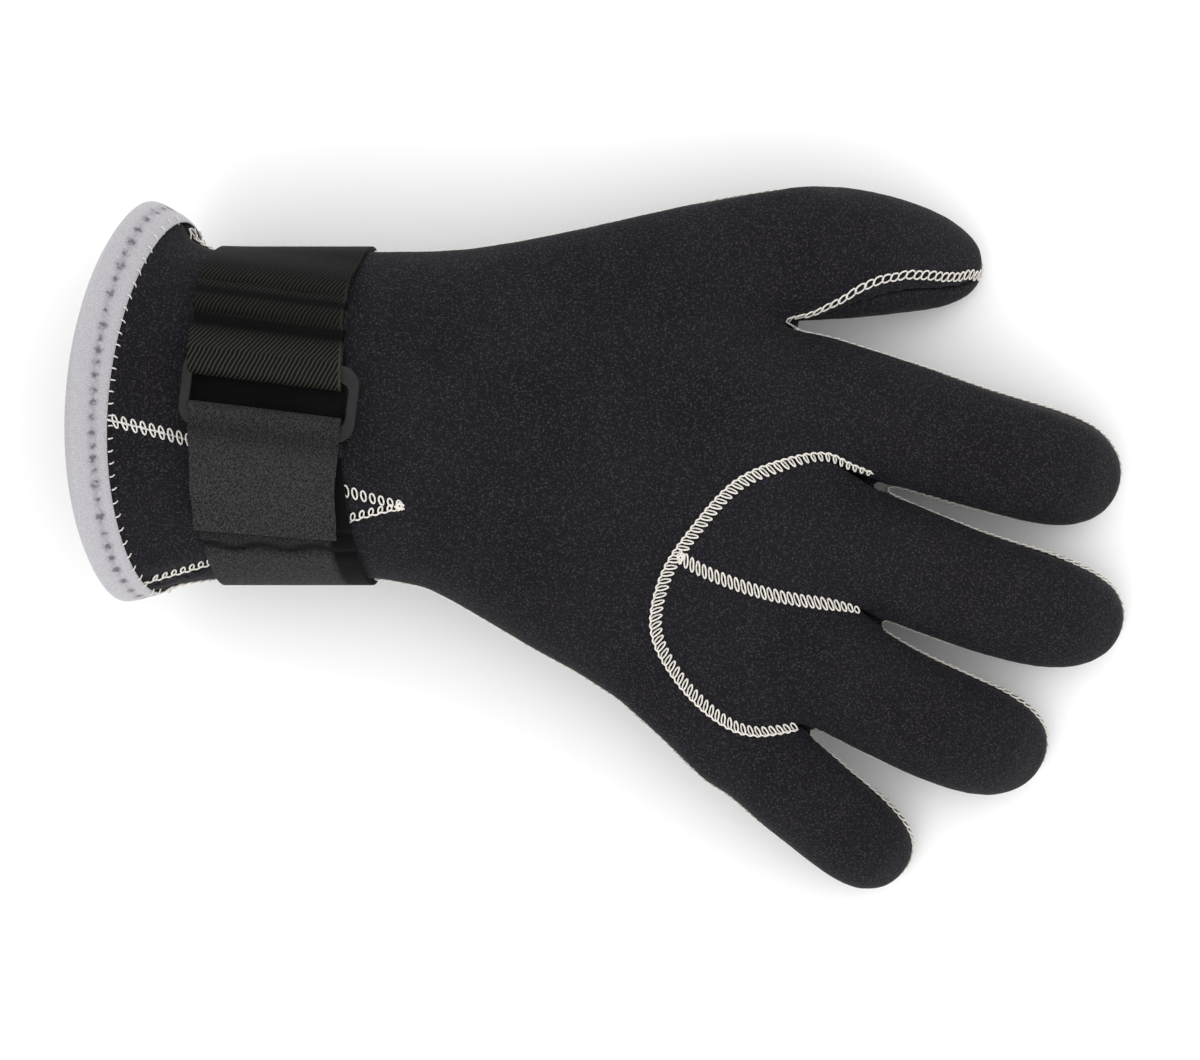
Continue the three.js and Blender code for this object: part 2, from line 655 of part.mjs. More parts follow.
function gussetSeam(rows) {
  const point = onPalm(GUSSET_POINT);
  const rim = -STRAP_WIDTH - CUFF_LENGTH - (slope(CUFF_LEAN) * CUFF_DEPTH) / 2;
  return [point, ...rows.map(({ along, across }) =>
    new THREE.Vector2(lerp(point.x, rim, along), across * CUFF_WIDTH),
  )];
}

// The back's panels: the sheet falls apart along its seams
function backPanels(sheetOfBack) {
  const cuts = [knuckleSeam(), branchSeam(), gussetSeam(GUSSET_UPPER), gussetSeam(GUSSET_LOWER)];
  const parts = cuts.reduce((rest, seam) => rest.subtract(seamCut(seam)), sheetOfBack).decompose();
  const gussetMiddle = between(gussetSeam(GUSSET_UPPER)[2], gussetSeam(GUSSET_LOWER)[2], 0.5);
  const probes = {
    back_panel: digitMiddle("thumb", 1),
    middle_finger_panel: digitMiddle("middle", 1),
    ring_finger_panel: digitMiddle("ring", 1),
    cuff_gusset: gussetMiddle,
  };
  const distance = (solid, plan) => {
    const { vertProperties: v } = solid.getMesh();
    let nearest = Infinity;
    for (let i = 0; i < v.length; i += 3) {
      nearest = Math.min(nearest, Math.hypot(v[i] - plan.x, v[i + 1] - plan.y));
    }
    return nearest;
  };
  return Object.entries(probes).map(([name, plan]) => {
    const [nearest] = parts.toSorted((a, b) => distance(a, plan) - distance(b, plan));
    return meshOf(name, nearest, NEOPRENE);
  });
}

// The binding: folded over the cuff's edge, and pressed flat where it stands on the floor
function binding(surface, normals, rim, next) {
  const count = rim.length * 2;
  const at = (list) => list.map((i) => ({ point: surface.points[i], normal: normals[i] }));
  const faceBetween = new Map(
    surface.faces.flatMap(({ corners }) => [[corners[1] + "_" + corners[3], corners[2]]]),
  );
  const rows = [0, 1, 2].map((row) =>
    Array.from({ length: count }, (_, i) => {
      const a = i >> 1;
      const b = (a + 1) % rim.length;
      const odd = i % 2 === 1;
      if (row === 0) return odd ? surface.edgeIndex(rim[a], rim[b]) : rim[a];
      if (row === 2) return odd ? surface.edgeIndex(next[a], next[b]) : next[a];
      if (!odd) return surface.edgeIndex(rim[a], next[a]);
      return faceBetween.get(surface.edgeIndex(rim[a], rim[b]) + "_" + surface.edgeIndex(rim[a], next[a]));
    }),
  );
  const [edge, middle, inner] = rows.map(at);
  const offset = (row, distance) =>
    row.map(({ point, normal }) => point.clone().addScaledVector(normal, distance));
  const beyond = (row, distance, reach) =>
    offset(row, distance).map((point, i) => {
      const outwards = edge[i].point.clone().sub(middle[i].point).normalize();
      return point.addScaledVector(outwards, reach);
    });
  const near = GAP;
  const far = GAP + BINDING_THICKNESS;
  const leg = (distance) => [
    { row: 2, points: offset(inner, distance) },
    { row: 1, points: offset(middle, distance) },
    { row: 0, points: beyond(edge, distance, near) },
  ];
  const loops = [
    ...leg(far),
    { row: 0, points: beyond(edge, near, far) },
    { row: 0, points: beyond(edge, -WALL - near, far) },
    ...leg(-WALL - far).reverse(),
    ...leg(-WALL - near),
    ...leg(near).reverse(),
  ];
  const points = loops.flatMap((loop) => loop.points);
  points.forEach(restOnFloor);
  // Splits each face along the diagonal that the sheet's own faces have, to stay parallel to them
  const faces = loops.flatMap((loop, k) =>
    edge.map((_, i) => {
      const from = k * count;
      const to = ((k + 1) % loops.length) * count;
      const j = (i + 1) % count;
      const likeSheet = (i % 2 === 0) === (loop.row !== 1);
      return likeSheet ? [from + i, to + i, to + j, from + j] : [from + j, from + i, to + i, to + j];
    }),
  );
  return solidFrom(points, faces);
}

// Soft pieces are flat where they rest
function restOnFloor(point) {
  point.z = Math.max(point.z, 0);
}

// The strap's pieces are drawn in slices across its width, in [y, z] on the wrist's ellipse
function onWrist(angle, offset) {
  const direction = new THREE.Vector2(Math.cos(degToRad(angle)), Math.sin(degToRad(angle)));
  const half = new THREE.Vector2(WRIST_WIDTH / 2, WRIST_DEPTH / 2);
  const normal = direction.clone().divide(half).normalize();
  return direction.multiply(half).addScaledVector(normal, offset).add(new THREE.Vector2(0, WRIST_MIDDLE));
}
const angleAt = (y) => radToDeg(Math.acos((2 * y) / WRIST_WIDTH));
const ringY = (x) => RING_CENTRE - slope(STRAP_TURN) * (x + STRAP_WIDTH / 2);
const RING_Z = WRIST_LIFT + WRIST_DEPTH + GAP + TAIL_THICKNESS + GAP + RING_THICKNESS / 2;

function arcOnWrist(fromAngle, toAngle, steps, offset) {
  return Array.from({ length: steps + 1 }, (_, i) => onWrist(lerp(fromAngle, toAngle, i / steps), offset));
}
// Half a turn round a bar, over the top when side is 1 and starting under it
function roundBar(barEdge, side, thickness) {
  const radius = RING_THICKNESS / 2 + GAP + thickness / 2;
  return Array.from({ length: LOOP_STEPS + 1 }, (_, i) => {
    const angle = Math.PI * (i / LOOP_STEPS - 0.5);
    return new THREE.Vector2(
      barEdge + side * (radius * Math.cos(angle) - RING_THICKNESS / 2),
      RING_Z + radius * Math.sin(angle),
    );
  });
}
function thicken(path, thickness) {
  const sides = [[], []];
  path.forEach((point, i) => {
    const tangent = (path[i + 1] ?? point).clone().sub(path[i - 1] ?? point).normalize();
    const across = new THREE.Vector2(-tangent.y, tangent.x).multiplyScalar(thickness / 2);
    sides[0].push(point.clone().add(across));
    sides[1].push(point.clone().sub(across));
  });
  return [...sides[0], ...sides[1].reverse()];
}
// A solid through outlines at places across the strap
function loft(outlineAt, from = -STRAP_WIDTH, to = 0) {
  const places = Array.from({ length: STRAP_SLICES + 1 }, (_, i) => lerp(from, to, i / STRAP_SLICES));
  const outlines = places.map(outlineAt);
  const count = outlines[0].length;
  const points = outlines.flatMap((outline, k) =>
    outline.map(({ x: y, y: z }) => new THREE.Vector3(places[k] + wristLean(z), y, z)),
  );
  const sideFaces = outlines.slice(1).flatMap((_, k) =>
    outlines[0].map((__, i) => {
      const j = (i + 1) % count;
      return [k * count + i, k * count + j, (k + 1) * count + j, (k + 1) * count + i];
    }),
  );
  const cap = (k) =>
    THREE.ShapeUtils.triangulateShape(outlines[k], []).map((face) => face.map((i) => i + k * count));
  const backwards = THREE.ShapeUtils.isClockWise(outlines[0]);
  return solidFrom(points, [
    ...sideFaces.map((face) => (backwards ? face.toReversed() : face)),
    ...cap(0).map((face) => face.toReversed()),
    ...cap(outlines.length - 1),
  ]);
}

// Webbing: sewn on under the thumb's side, over the edge of the wrist, round the ring's upper bar
// and back under itself
function webbing() {
  const thickness = WEBBING_THICKNESS;
  const low = GAP + thickness / 2;
  const high = low + thickness + GAP;
  const outline = (x) => {
    const barEdge = ringY(x) + RING_HEIGHT / 2 - RING_BAR;
    const foldAngle = angleAt(barEdge + RING_BAR + FOLD_BACK_LENGTH);
    const loop = roundBar(barEdge, -1, thickness).toReversed();
    const path = [
      ...arcOnWrist(WEBBING_ROOT, foldAngle - FOLD_STEP, LONG_ARC_STEPS, low),
      ...arcOnWrist(foldAngle, angleAt(barEdge + RING_BAR + BAR_RAMP), SHORT_ARC_STEPS, high),
      new THREE.Vector2(barEdge + RING_BAR, loop[0].y),
      ...loop,
      ...arcOnWrist(angleAt(barEdge + RING_BAR), foldAngle + FOLD_SLACK, SHORT_ARC_STEPS, low),
    ];
    return thicken(path, thickness);
  };
  return loft(outline);
}

// Tail: sewn on under the other side, up round the wrist, through the ring from below, round its
// lower bar and back over itself
function tail() {
  const thickness = TAIL_THICKNESS;
  const low = GAP + thickness / 2;
  const high = low + thickness + GAP;
  const outline = (x) => {
    const barEdge = ringY(x) - RING_HEIGHT / 2 + RING_BAR;
    const loop = roundBar(barEdge, 1, thickness);
    const [rampAngle, endAngle] = [barEdge - RING_BAR - BAR_RAMP, barEdge - TAIL_LENGTH].map(angleAt);
    const path = [
      ...arcOnWrist(TAIL_ROOT, angleAt(barEdge - RING_BAR), LONG_ARC_STEPS, low),
      ...loop,
      new THREE.Vector2(barEdge - RING_BAR, loop.at(-1).y),
      ...arcOnWrist(rampAngle, endAngle, SHORT_ARC_STEPS, high),
    ];
    return thicken(path, thickness);
  };
  return loft(outline);
}

function roundedRectangle(Kind, width, height, corner) {
  const [w, h] = [width / 2, height / 2];
  const shape = new Kind();
  shape.absarc(w - corner, h - corner, corner, 0, Math.PI / 2);
  shape.absarc(corner - w, h - corner, corner, Math.PI / 2, Math.PI);
  shape.absarc(corner - w, corner - h, corner, Math.PI, 1.5 * Math.PI);
  shape.absarc(w - corner, corner - h, corner, 1.5 * Math.PI, 2 * Math.PI);
  return shape;
}
function strapRing() {
  const opening = STRAP_WIDTH + 2 * RING_CLEARANCE;
  const width = opening + 2 * RING_END_BAR;
  const inset = 2 * RING_EDGE;
  const shape = roundedRectangle(THREE.Shape, width - inset, RING_HEIGHT - inset, RING_CORNER - RING_EDGE);
  const slot = RING_HEIGHT - 2 * RING_BAR;
  shape.holes.push(roundedRectangle(THREE.Path, opening + inset, slot + inset, RING_EDGE * 2));
  const geometry = new THREE.ExtrudeGeometry(shape, {
    depth: RING_THICKNESS - inset,
    bevelThickness: RING_EDGE,
    bevelSize: RING_EDGE,
    bevelSegments: 1,
    curveSegments: 3,
  });
  geometry.translate(0, 0, -RING_THICKNESS / 2 + RING_EDGE);
  geometry.rotateZ(-degToRad(STRAP_TURN));
  geometry.translate(-STRAP_WIDTH / 2 + wristLean(RING_Z), RING_CENTRE, RING_Z);
  return solidFromGeometry(geometry);
}

const rings = handCage();
const surface = smoothedSurface(cage);
surface.points.forEach(heldByStrap);
surface.points.forEach(restOnFloor);
const normals = pointNormals(surface);

const glove = new THREE.Group();
glove.add(
  ...backPanels(sheet(surface, normals, "back")),
  meshOf("palm_panel", sheet(surface, normals, "palm"), NEOPRENE),
  meshOf("cuff_binding", binding(surface, normals, rings[0], rings[1]), GREY_BINDING),
  meshOf("strap_webbing", webbing(), WEBBING),
  meshOf("strap_tail", tail(), HOOK_AND_LOOP),
  meshOf("strap_ring", strapRing(), PLASTIC),
);

// The origin goes to the middle of the underside
const box = new THREE.Box3().setFromObject(glove);
const middle = box.getCenter(new THREE.Vector3());
glove.position.set(-middle.x, -middle.y, -box.min.z);

export default glove;
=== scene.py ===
"""A right-hand diving glove, lying palm down: neoprene panels sewn with white thread, a bound cuff,
and a strap that closes the wrist through a flat ring. It is laid out as an add-on with one operator
for each group of pieces, and it is run as a script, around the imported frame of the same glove."""

from collections import namedtuple
from math import acos, atan2, cos, exp, floor, hypot, inf, pi, radians, sin, tan

import bmesh
import bpy
from bpy.props import FloatProperty, FloatVectorProperty, IntProperty, PointerProperty
from mathutils import Matrix, Vector
from mathutils.bvhtree import BVHTree
from mathutils.kdtree import KDTree


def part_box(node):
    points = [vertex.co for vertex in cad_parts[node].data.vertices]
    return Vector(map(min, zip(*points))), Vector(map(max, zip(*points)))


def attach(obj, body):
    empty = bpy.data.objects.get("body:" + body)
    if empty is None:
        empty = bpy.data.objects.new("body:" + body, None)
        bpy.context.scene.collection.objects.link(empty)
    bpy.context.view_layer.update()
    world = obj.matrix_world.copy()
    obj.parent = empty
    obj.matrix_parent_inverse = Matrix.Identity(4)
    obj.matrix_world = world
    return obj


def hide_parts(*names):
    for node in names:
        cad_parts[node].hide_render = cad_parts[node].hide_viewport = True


bl_info = {
    "name": "Diving Glove",
    "version": (1, 0, 0),
    "blender": (4, 5, 0),
    "location": "View3D > Sidebar > Glove",
    "description": "Builds a neoprene diving glove around its packed frame",
    "category": "Add Mesh",
}

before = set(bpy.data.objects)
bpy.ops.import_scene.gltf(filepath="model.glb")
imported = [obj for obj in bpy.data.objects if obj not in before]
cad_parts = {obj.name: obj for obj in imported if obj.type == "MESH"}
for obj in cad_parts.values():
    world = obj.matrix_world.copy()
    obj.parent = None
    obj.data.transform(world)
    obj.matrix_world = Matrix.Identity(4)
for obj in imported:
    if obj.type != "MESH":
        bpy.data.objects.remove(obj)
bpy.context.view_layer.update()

MM = 0.001
MERGE_DISTANCE = 0.002 * MM

# The photograph's frame, and its scale at mid height of the glove
PHOTO_WIDTH = 1200
PHOTO_HEIGHT = 1060
PHOTO_ORIGIN = Vector((609.1, 540.4))  # the pixel where the frame's origin lies
PIXELS_PER_MM = 4

# Neoprene panels: each finished piece, and the frame node that it stands for
BACK_PANELS = {
    "neoprene_back": "back_panel",
    "neoprene_middle_finger": "middle_finger_panel",
    "neoprene_ring_finger": "ring_finger_panel",
    "neoprene_gusset": "cuff_gusset",
}
PALM_PANELS = {"neoprene_palm": "palm_panel"}

# The wrist's ellipse that the strap goes round, and where it lies from the ring that rests on it
WRIST_HALF = Vector((40.5, 27.0)) * MM
WRIST_HEIGHT = 34 * MM
WRIST_LEAN = radians(13)
PALM_SIDE_LEAN = 0.4
RING_FROM_AXIS = 3.9 * MM
STRAP_WIDTH = 37 * MM
RING_LOW, RING_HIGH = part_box("strap_ring")
RING_MIDDLE = (Vector(RING_LOW) + Vector(RING_HIGH)) / 2
WRIST_MIDDLE = Vector((RING_MIDDLE.y - RING_FROM_AXIS, WRIST_HEIGHT))
STRAP_FRONT = RING_MIDDLE.x + STRAP_WIDTH / 2 + tan(WRIST_LEAN) * WRIST_HALF.y

# The seams of the back, as shares of the palm's length and width from the strap and the wrist's axis
PALM_SIZE = Vector((123, 116)) * MM
INDEX_MIDDLE_FORK = (1, -0.139)
MIDDLE_RING_FORK = (1, -0.423)
RING_LITTLE_FORK = (0.873, -0.669)
KNUCKLE_SEAM = (
    (1.015, -0.128), (0.97, -0.111), (0.914, -0.09), (0.833, -0.107), (0.735, -0.154), (0.65, -0.253),
    (0.593, -0.348), (0.574, -0.462), (0.623, -0.566), (0.7, -0.647), (0.773, -0.68), RING_LITTLE_FORK,
)
BRANCH_SEAM = (
    (0.616, -0.3), (0.666, -0.333), (0.755, -0.37), (0.841, -0.393), (0.948, -0.41), MIDDLE_RING_FORK)

# The gap between index and middle finger is narrow, so its two faces are pushed apart in the panels
FORK_HEADING = radians(-18.5)
FORK_REACH = 5 * MM  # to each side of the gap
FORK_RELIEF = 0.6 * MM
FORK_START = -6 * MM  # along the fingers from the fork: it starts here, is whole from 0 to
FORK_WHOLE = 8 * MM  # here,
FORK_END = 26 * MM  # and ends here
FORK_SOFT = 8 * MM  # how far round a fork the panels keep their own shape
FORK_AWAY = (0.4 * MM, 1 * MM)  # where they lie this far from the smoothed form, or further

# The gusset's seams: from its point, shares of the way to the cuff's edge and of the cuff's width
GUSSET_POINT = (0.07, -0.195)
CUFF_EDGE = -70.4 * MM
CUFF_WIDTH = 98 * MM
BINDING_WIDTH = 9.2 * MM
GUSSET_UPPER = ((0.18, -0.195), (0.72, -0.055), (1.2, 0.03))
GUSSET_LOWER = ((0.18, -0.265), (0.7, -0.395), (1.2, -0.505))

# How seams are drawn and how panels follow the form
SEAM_SAMPLE = 1.0 * MM
SHORTEST_LOBE = 40  # points of a part of the side seam that is worth joining to it
SEAM_ROUNDS = 8  # rounds in which the side seam is smoothed
SEAM_SWELL = 0.35  # height of the swell beside a seam, as a share of the seam's depth
SWELL_PLACE = 2.6  # its distance from the seam, in seam reaches
NARROW_GAP, WIDE_GAP = 2 * MM, 9 * MM  # the form isn't plumped up in narrow gaps, and is in wide ones
PANEL_SWELL = 0.25 * MM
PANEL_SMOOTHING = 3

# The shadow under the ring, inside the box of its solid
SHADOW_INSET = 3 * MM
SHADOW_SOFT = 1 * MM
SHADOW_DEPTH = 12 * MM


class NeopreneSettings(bpy.types.PropertyGroup):
    """Sizes and colours of the neoprene panels."""

    detail: FloatProperty(
        name="Mesh detail", description="Width of one facet of a panel",
        default=1.05 * MM, min=0.5 * MM, unit="LENGTH", precision=5)
    form_detail: FloatProperty(
        name="Form detail", description="Width of one facet of the hand's smoothed form",
        default=0.75 * MM, min=0.4 * MM, unit="LENGTH", precision=5)
    smoothing: IntProperty(
        name="Smoothing", description="Rounds in which the hand's form is smoothed", default=45, min=0)
    plump: FloatProperty(
        name="Plump", description="How far the smoothed form is pushed out again",
        default=0.55 * MM, unit="LENGTH", precision=5)
    seam_depth: FloatProperty(
        name="Seam depth", description="How far the thread draws the neoprene in along a seam",
        default=0.55 * MM, min=0, unit="LENGTH", precision=5)
    seam_reach: FloatProperty(
        name="Seam reach", description="How far beside a seam the neoprene is drawn in",
        default=2.2 * MM, min=0.1 * MM, unit="LENGTH", precision=5)
    knit_size: FloatProperty(
        name="Knit size", description="Size of the knitted facing's stitches",
        default=0.55 * MM, min=0.05 * MM, unit="LENGTH", precision=5)
    colour: FloatVectorProperty(
        name="Neoprene", description="Colour of the knitted facing", subtype="COLOR", size=4,
        default=(0.0045, 0.0039, 0.0058, 1))
    fleck: FloatVectorProperty(
        name="Fleck", description="Colour of the lighter loops in the facing", subtype="COLOR", size=4,
        default=(0.04, 0.036, 0.046, 1))


class StitchSettings(bpy.types.PropertyGroup):
    """Sizes and colour of the seams' thread."""

    thread: FloatProperty(
        name="Thread", description="Thickness of the sewing thread",
        default=0.46 * MM, min=0.1 * MM, unit="LENGTH", precision=5)
    colour: FloatVectorProperty(
        name="Thread colour", description="Colour of the sewing thread", subtype="COLOR", size=4,
        default=(0.78, 0.74, 0.68, 1))


class BindingSettings(bpy.types.PropertyGroup):
    """Sizes and colours of the cuff's binding."""

    dimple_pitch: FloatProperty(
        name="Stitch pitch", description="From one stitch of the binding to the next",
        default=4.8 * MM, min=1 * MM, unit="LENGTH", precision=5)
    dimple_depth: FloatProperty(
        name="Stitch depth", description="How deep a stitch pulls the binding in",
        default=0.5 * MM, min=0, unit="LENGTH", precision=5)
    dimple_row: FloatProperty(
        name="Stitch row", description="From the cuff's edge to the row of stitches",
        default=7.3 * MM, min=0, unit="LENGTH", precision=5)
    rib_pitch: FloatProperty(
        name="Rib pitch", description="From one rib of the tape to the next",
        default=0.62 * MM, min=0.1 * MM, unit="LENGTH", precision=5)
    colour: FloatVectorProperty(
        name="Binding", description="Colour of the binding tape", subtype="COLOR", size=4,
        default=(0.5, 0.485, 0.52, 1))
    # painted shade for the binding's stitch dimples, the groove along them and between the ribs at the
    # cuff's edge
    shade: FloatVectorProperty(
        name="Stitch holes", description="Colour in the binding's stitch holes", subtype="COLOR", size=4,
        default=(0.12, 0.105, 0.13, 1))


class StrapSettings(bpy.types.PropertyGroup):
    """Sizes and colours of the wrist strap and its ring."""

    width: FloatProperty(
        name="Strap width", description="Width of the webbing and of its tail",
        default=STRAP_WIDTH, min=10 * MM, unit="LENGTH", precision=5)
    turn: FloatProperty(
        name="Turn", description="How far the ring is turned on the wrist",
        default=radians(7), subtype="ANGLE")
    webbing_thickness: FloatProperty(
        name="Webbing thickness", description="Thickness of the webbing",
        default=1.4 * MM, min=0.2 * MM, unit="LENGTH", precision=5)
    tail_thickness: FloatProperty(
        name="Tail thickness", description="Thickness of the hook-and-loop tail",
        default=1.6 * MM, min=0.2 * MM, unit="LENGTH", precision=5)
    tail_length: FloatProperty(
        name="Tail length", description="From the ring to the tail's free end, seen from above",
        default=27.3 * MM, min=5 * MM, unit="LENGTH", precision=5)
    ring_height: FloatProperty(
        name="Ring height", description="Size of the ring along the strap",
        default=19 * MM, min=10 * MM, unit="LENGTH", precision=5)
    ring_width: FloatProperty(
        name="Ring width", description="Size of the ring across the strap",
        default=43.4 * MM, min=10 * MM, unit="LENGTH", precision=5)
    ring_bar: FloatProperty(
        name="Ring bar", description="Width of the bars that the strap runs round",
        default=4.5 * MM, min=1 * MM, unit="LENGTH", precision=5)
    ring_end_bar: FloatProperty(
        name="Ring end bar", description="Width of the ring's ends",
        default=2.8 * MM, min=1 * MM, unit="LENGTH", precision=5)
    ring_thickness: FloatProperty(
        name="Ring thickness", description="Thickness of the ring",
        default=2.6 * MM, min=0.5 * MM, unit="LENGTH", precision=5)
    twill_pitch: FloatProperty(
        name="Twill pitch", description="From one diagonal rib of the webbing to the next",
        default=0.95 * MM, min=0.1 * MM, unit="LENGTH", precision=5)
    webbing_colour: FloatVectorProperty(
        name="Webbing", description="Colour between the webbing's ribs", subtype="COLOR", size=4,
        default=(0.0016, 0.0016, 0.0012, 1))
    rib_colour: FloatVectorProperty(
        name="Webbing ribs", description="Colour on the webbing's ribs", subtype="COLOR", size=4,
        default=(0.042, 0.042, 0.034, 1))
    tail_colour: FloatVectorProperty(
        name="Tail", description="Colour in the depth of the tail's pile", subtype="COLOR", size=4,
        default=(0.012, 0.012, 0.0125, 1))
    pile_colour: FloatVectorProperty(
        name="Tail pile", description="Colour on the loops of the tail's pile", subtype="COLOR", size=4,
        default=(0.065, 0.063, 0.065, 1))
    ring_colour: FloatVectorProperty(
        name="Ring", description="Colour of the ring's plastic", subtype="COLOR", size=4,
        default=(0.006, 0.0065, 0.0065, 1))


class StageSettings(bpy.types.PropertyGroup):
    """The floor, the lights and the camera."""

    camera_height: FloatProperty(
        name="Camera height", description="Camera above the floor", default=1.1, min=0.3, unit="LENGTH")
    mid_height: FloatProperty(
        name="Mid height", description="Height at which the photograph's scale is measured",
        default=33 * MM, unit="LENGTH", precision=5)
    floor_colour: FloatVectorProperty(
        name="Floor", description="Colour of the floor", subtype="COLOR", size=4,
        default=(0.92, 0.92, 0.92, 1))
    key_power: FloatProperty(
        name="Key light", description="Power of the key light", default=6, min=0, unit="POWER")
    fill_power: FloatProperty(
        name="Fill light", description="Power of the fill light", default=6, min=0, unit="POWER")


# Small helpers

def settings(context, group):
    return getattr(context.scene, "glove_" + group)


def smoothstep(low, high, value):
    """0 at low and 1 at high, with a soft way between them."""
    share = min(max((value - low) / (high - low), 0), 1)
    return share * share * (3 - 2 * share)


def hump(value, middle, reach):
    """1 at the middle, falling softly to 0 within about twice the reach."""
    return exp(-(((value - middle) / reach) ** 2))


def catmull_rom(points, steps):
    """A smooth line through points, with this many steps between two of them."""
    line = []
    for i in range(len(points) - 1):
        before, start = points[max(i - 1, 0)], points[i]
        end, after = points[i + 1], points[min(i + 2, len(points) - 1)]
        for step in range(steps):
            t = step / steps
            line.append(
                0.5 * ((2 * start) + (end - before) * t
                       + (2 * before - 5 * start + 4 * end - after) * t ** 2
                       + (3 * start - before - 3 * end + after) * t ** 3))
    return [*line, points[-1].copy()]


def resampled(line, spacing):
    """The same line with evenly spaced points."""
    lengths = [0.0]
    for a, b in zip(line, line[1:]):
        lengths.append(lengths[-1] + (b - a).length)
    count = max(2, round(lengths[-1] / spacing))
    even, k = [], 0
    for i in range(count + 1):
        target = lengths[-1] * i / count
        while k < len(line) - 2 and lengths[k + 1] < target:
            k += 1
        span = lengths[k + 1] - lengths[k]
        even.append(line[k].lerp(line[k + 1], (target - lengths[k]) / span if span else 0))
    return even


def finish_piece(name, mesh, material, replaces=()):
    """Makes a shown piece of a mesh: smooth, in its finish, riding on the glove."""
    piece = bpy.data.objects.new(name, mesh)
    bpy.context.scene.collection.objects.link(piece)
    mesh.materials.clear()
    mesh.materials.append(material)
    for polygon in mesh.polygons:
        polygon.use_smooth = True
    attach(piece, "root")
    if replaces:
        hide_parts(*replaces)
    return piece


def merged_copy(*nodes):
    """The meshes of frame nodes in one bmesh, their doubled points merged."""
    bm = bmesh.new()
    for node in nodes:
        bm.from_mesh(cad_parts[node].data)
    bmesh.ops.remove_doubles(bm, verts=bm.verts, dist=MERGE_DISTANCE)
    return bm


def panel_copy(*nodes):
    """The same for neoprene panels, with the narrow gap between index and middle finger kept open."""
    bm = merged_copy(*nodes)
    bm.normal_update()
    fork = on_palm(*INDEX_MIDDLE_FORK)
    along = Vector((cos(FORK_HEADING), sin(FORK_HEADING), 0))
    beside = Vector((-along.y, along.x, 0))
    for vert in bm.verts:
        away = vert.co - fork
        ahead, off = away.dot(along), away.dot(beside)
        near = smoothstep(FORK_START, 0, ahead) * (1 - smoothstep(FORK_WHOLE, FORK_END, ahead))
        side = 1 if off > 0 else -1
        faces_gap = smoothstep(0.2, 0.6, -side * vert.normal.dot(beside))
        if abs(off) < FORK_REACH:
            vert.co += beside * side * FORK_RELIEF * near * faces_gap
    return bm


def evaluated_mesh(name, mesh, modifiers):
    """A mesh with modifiers applied. Each modifier is its kind and its values."""
    carrier = bpy.data.objects.new(name, mesh)
    bpy.context.scene.collection.objects.link(carrier)
    for kind, values in modifiers:
        modifier = carrier.modifiers.new(kind.title(), kind)
        for key, value in values.items():
            setattr(modifier, key, value)
    depsgraph = bpy.context.evaluated_depsgraph_get()
    made = bpy.data.meshes.new_from_object(carrier.evaluated_get(depsgraph))
    made.name = name
    bpy.data.objects.remove(carrier)
    bpy.data.meshes.remove(mesh)
    return made


def remeshed(name, bm, facet, smoothing):
    """A closed bmesh made into even facets and smoothed."""
    mesh = bpy.data.meshes.new(name)
    bm.to_mesh(mesh)
    bm.free()
    made = evaluated_mesh(name, mesh, [
        ("REMESH", {"mode": "VOXEL", "voxel_size": facet}),
        ("SMOOTH", {"factor": 0.5, "iterations": smoothing}),
    ])
    bm = bmesh.new()
    bm.from_mesh(made)
    bpy.data.meshes.remove(made)
    bm.normal_update()
    return bm


def to_mesh(name, bm):
    mesh = bpy.data.meshes.new(name)
    bm.to_mesh(mesh)
    bm.free()
    return mesh


# Shader nodes

def shader_node(tree, kind, inputs=None, **values):
    """A node with its values, its inputs set to a value or linked to a socket."""
    made = tree.nodes.new(kind)
    for key, value in values.items():
        setattr(made, key, value)
    for socket, value in (inputs or {}).items():
        if isinstance(value, bpy.types.NodeSocket):
            tree.links.new(value, made.inputs[socket])
        else:
            made.inputs[socket].default_value = value
    return made


def maths(tree, operation, a, b=0.0):
    return shader_node(tree, "ShaderNodeMath", {0: a, 1: b}, operation=operation).outputs[0]


def between_values(tree, value, low, high, start=0.0, end=1.0):
    inputs = {"Value": value, "From Min": low, "From Max": high, "To Min": start, "To Max": end}
    return shader_node(tree, "ShaderNodeMapRange", inputs, interpolation_type="SMOOTHSTEP").outputs[0]


def noise(tree, place, size, detail=2.0, distortion=0.0):
    """Soft noise whose patches have about this size."""
    inputs = {"Vector": place, "Scale": 1 / size, "Detail": detail, "Distortion": distortion}
    return shader_node(tree, "ShaderNodeTexNoise", inputs).outputs["Fac"]


def attribute(tree, name):
    """A value that the piece's mesh carries at each point."""
    return shader_node(tree, "ShaderNodeAttribute", attribute_name=name).outputs["Fac"]


def toned(colour, share):
    """A colour made darker or lighter."""
    return [min(1, share * part) for part in colour[:3]] + [1]


def mixed(tree, share, first, second):
    inputs = {0: share, 6: first, 7: second}
    return shader_node(tree, "ShaderNodeMix", inputs, data_type="RGBA").outputs[2]


def two_colours(tree, mask, first, second, low=0.0, high=1.0):
    ramp = shader_node(tree, "ShaderNodeValToRGB", {"Fac": mask})
    ramp.color_ramp.elements[0].position = low
    ramp.color_ramp.elements[0].color = first
    ramp.color_ramp.elements[1].position = high
    ramp.color_ramp.elements[1].color = second
    return ramp.outputs["Color"]


def node_group(name, inputs, outputs):
    """A new shader group with named sockets, what it is given and what it makes."""
    tree = bpy.data.node_groups.new(name, "ShaderNodeTree")
    for socket, kind in inputs.items():
        tree.interface.new_socket(socket, in_out="INPUT", socket_type=kind)
    for socket, kind in outputs.items():
        tree.interface.new_socket(socket, in_out="OUTPUT", socket_type=kind)
    return tree, tree.nodes.new("NodeGroupInput").outputs, tree.nodes.new("NodeGroupOutput").inputs


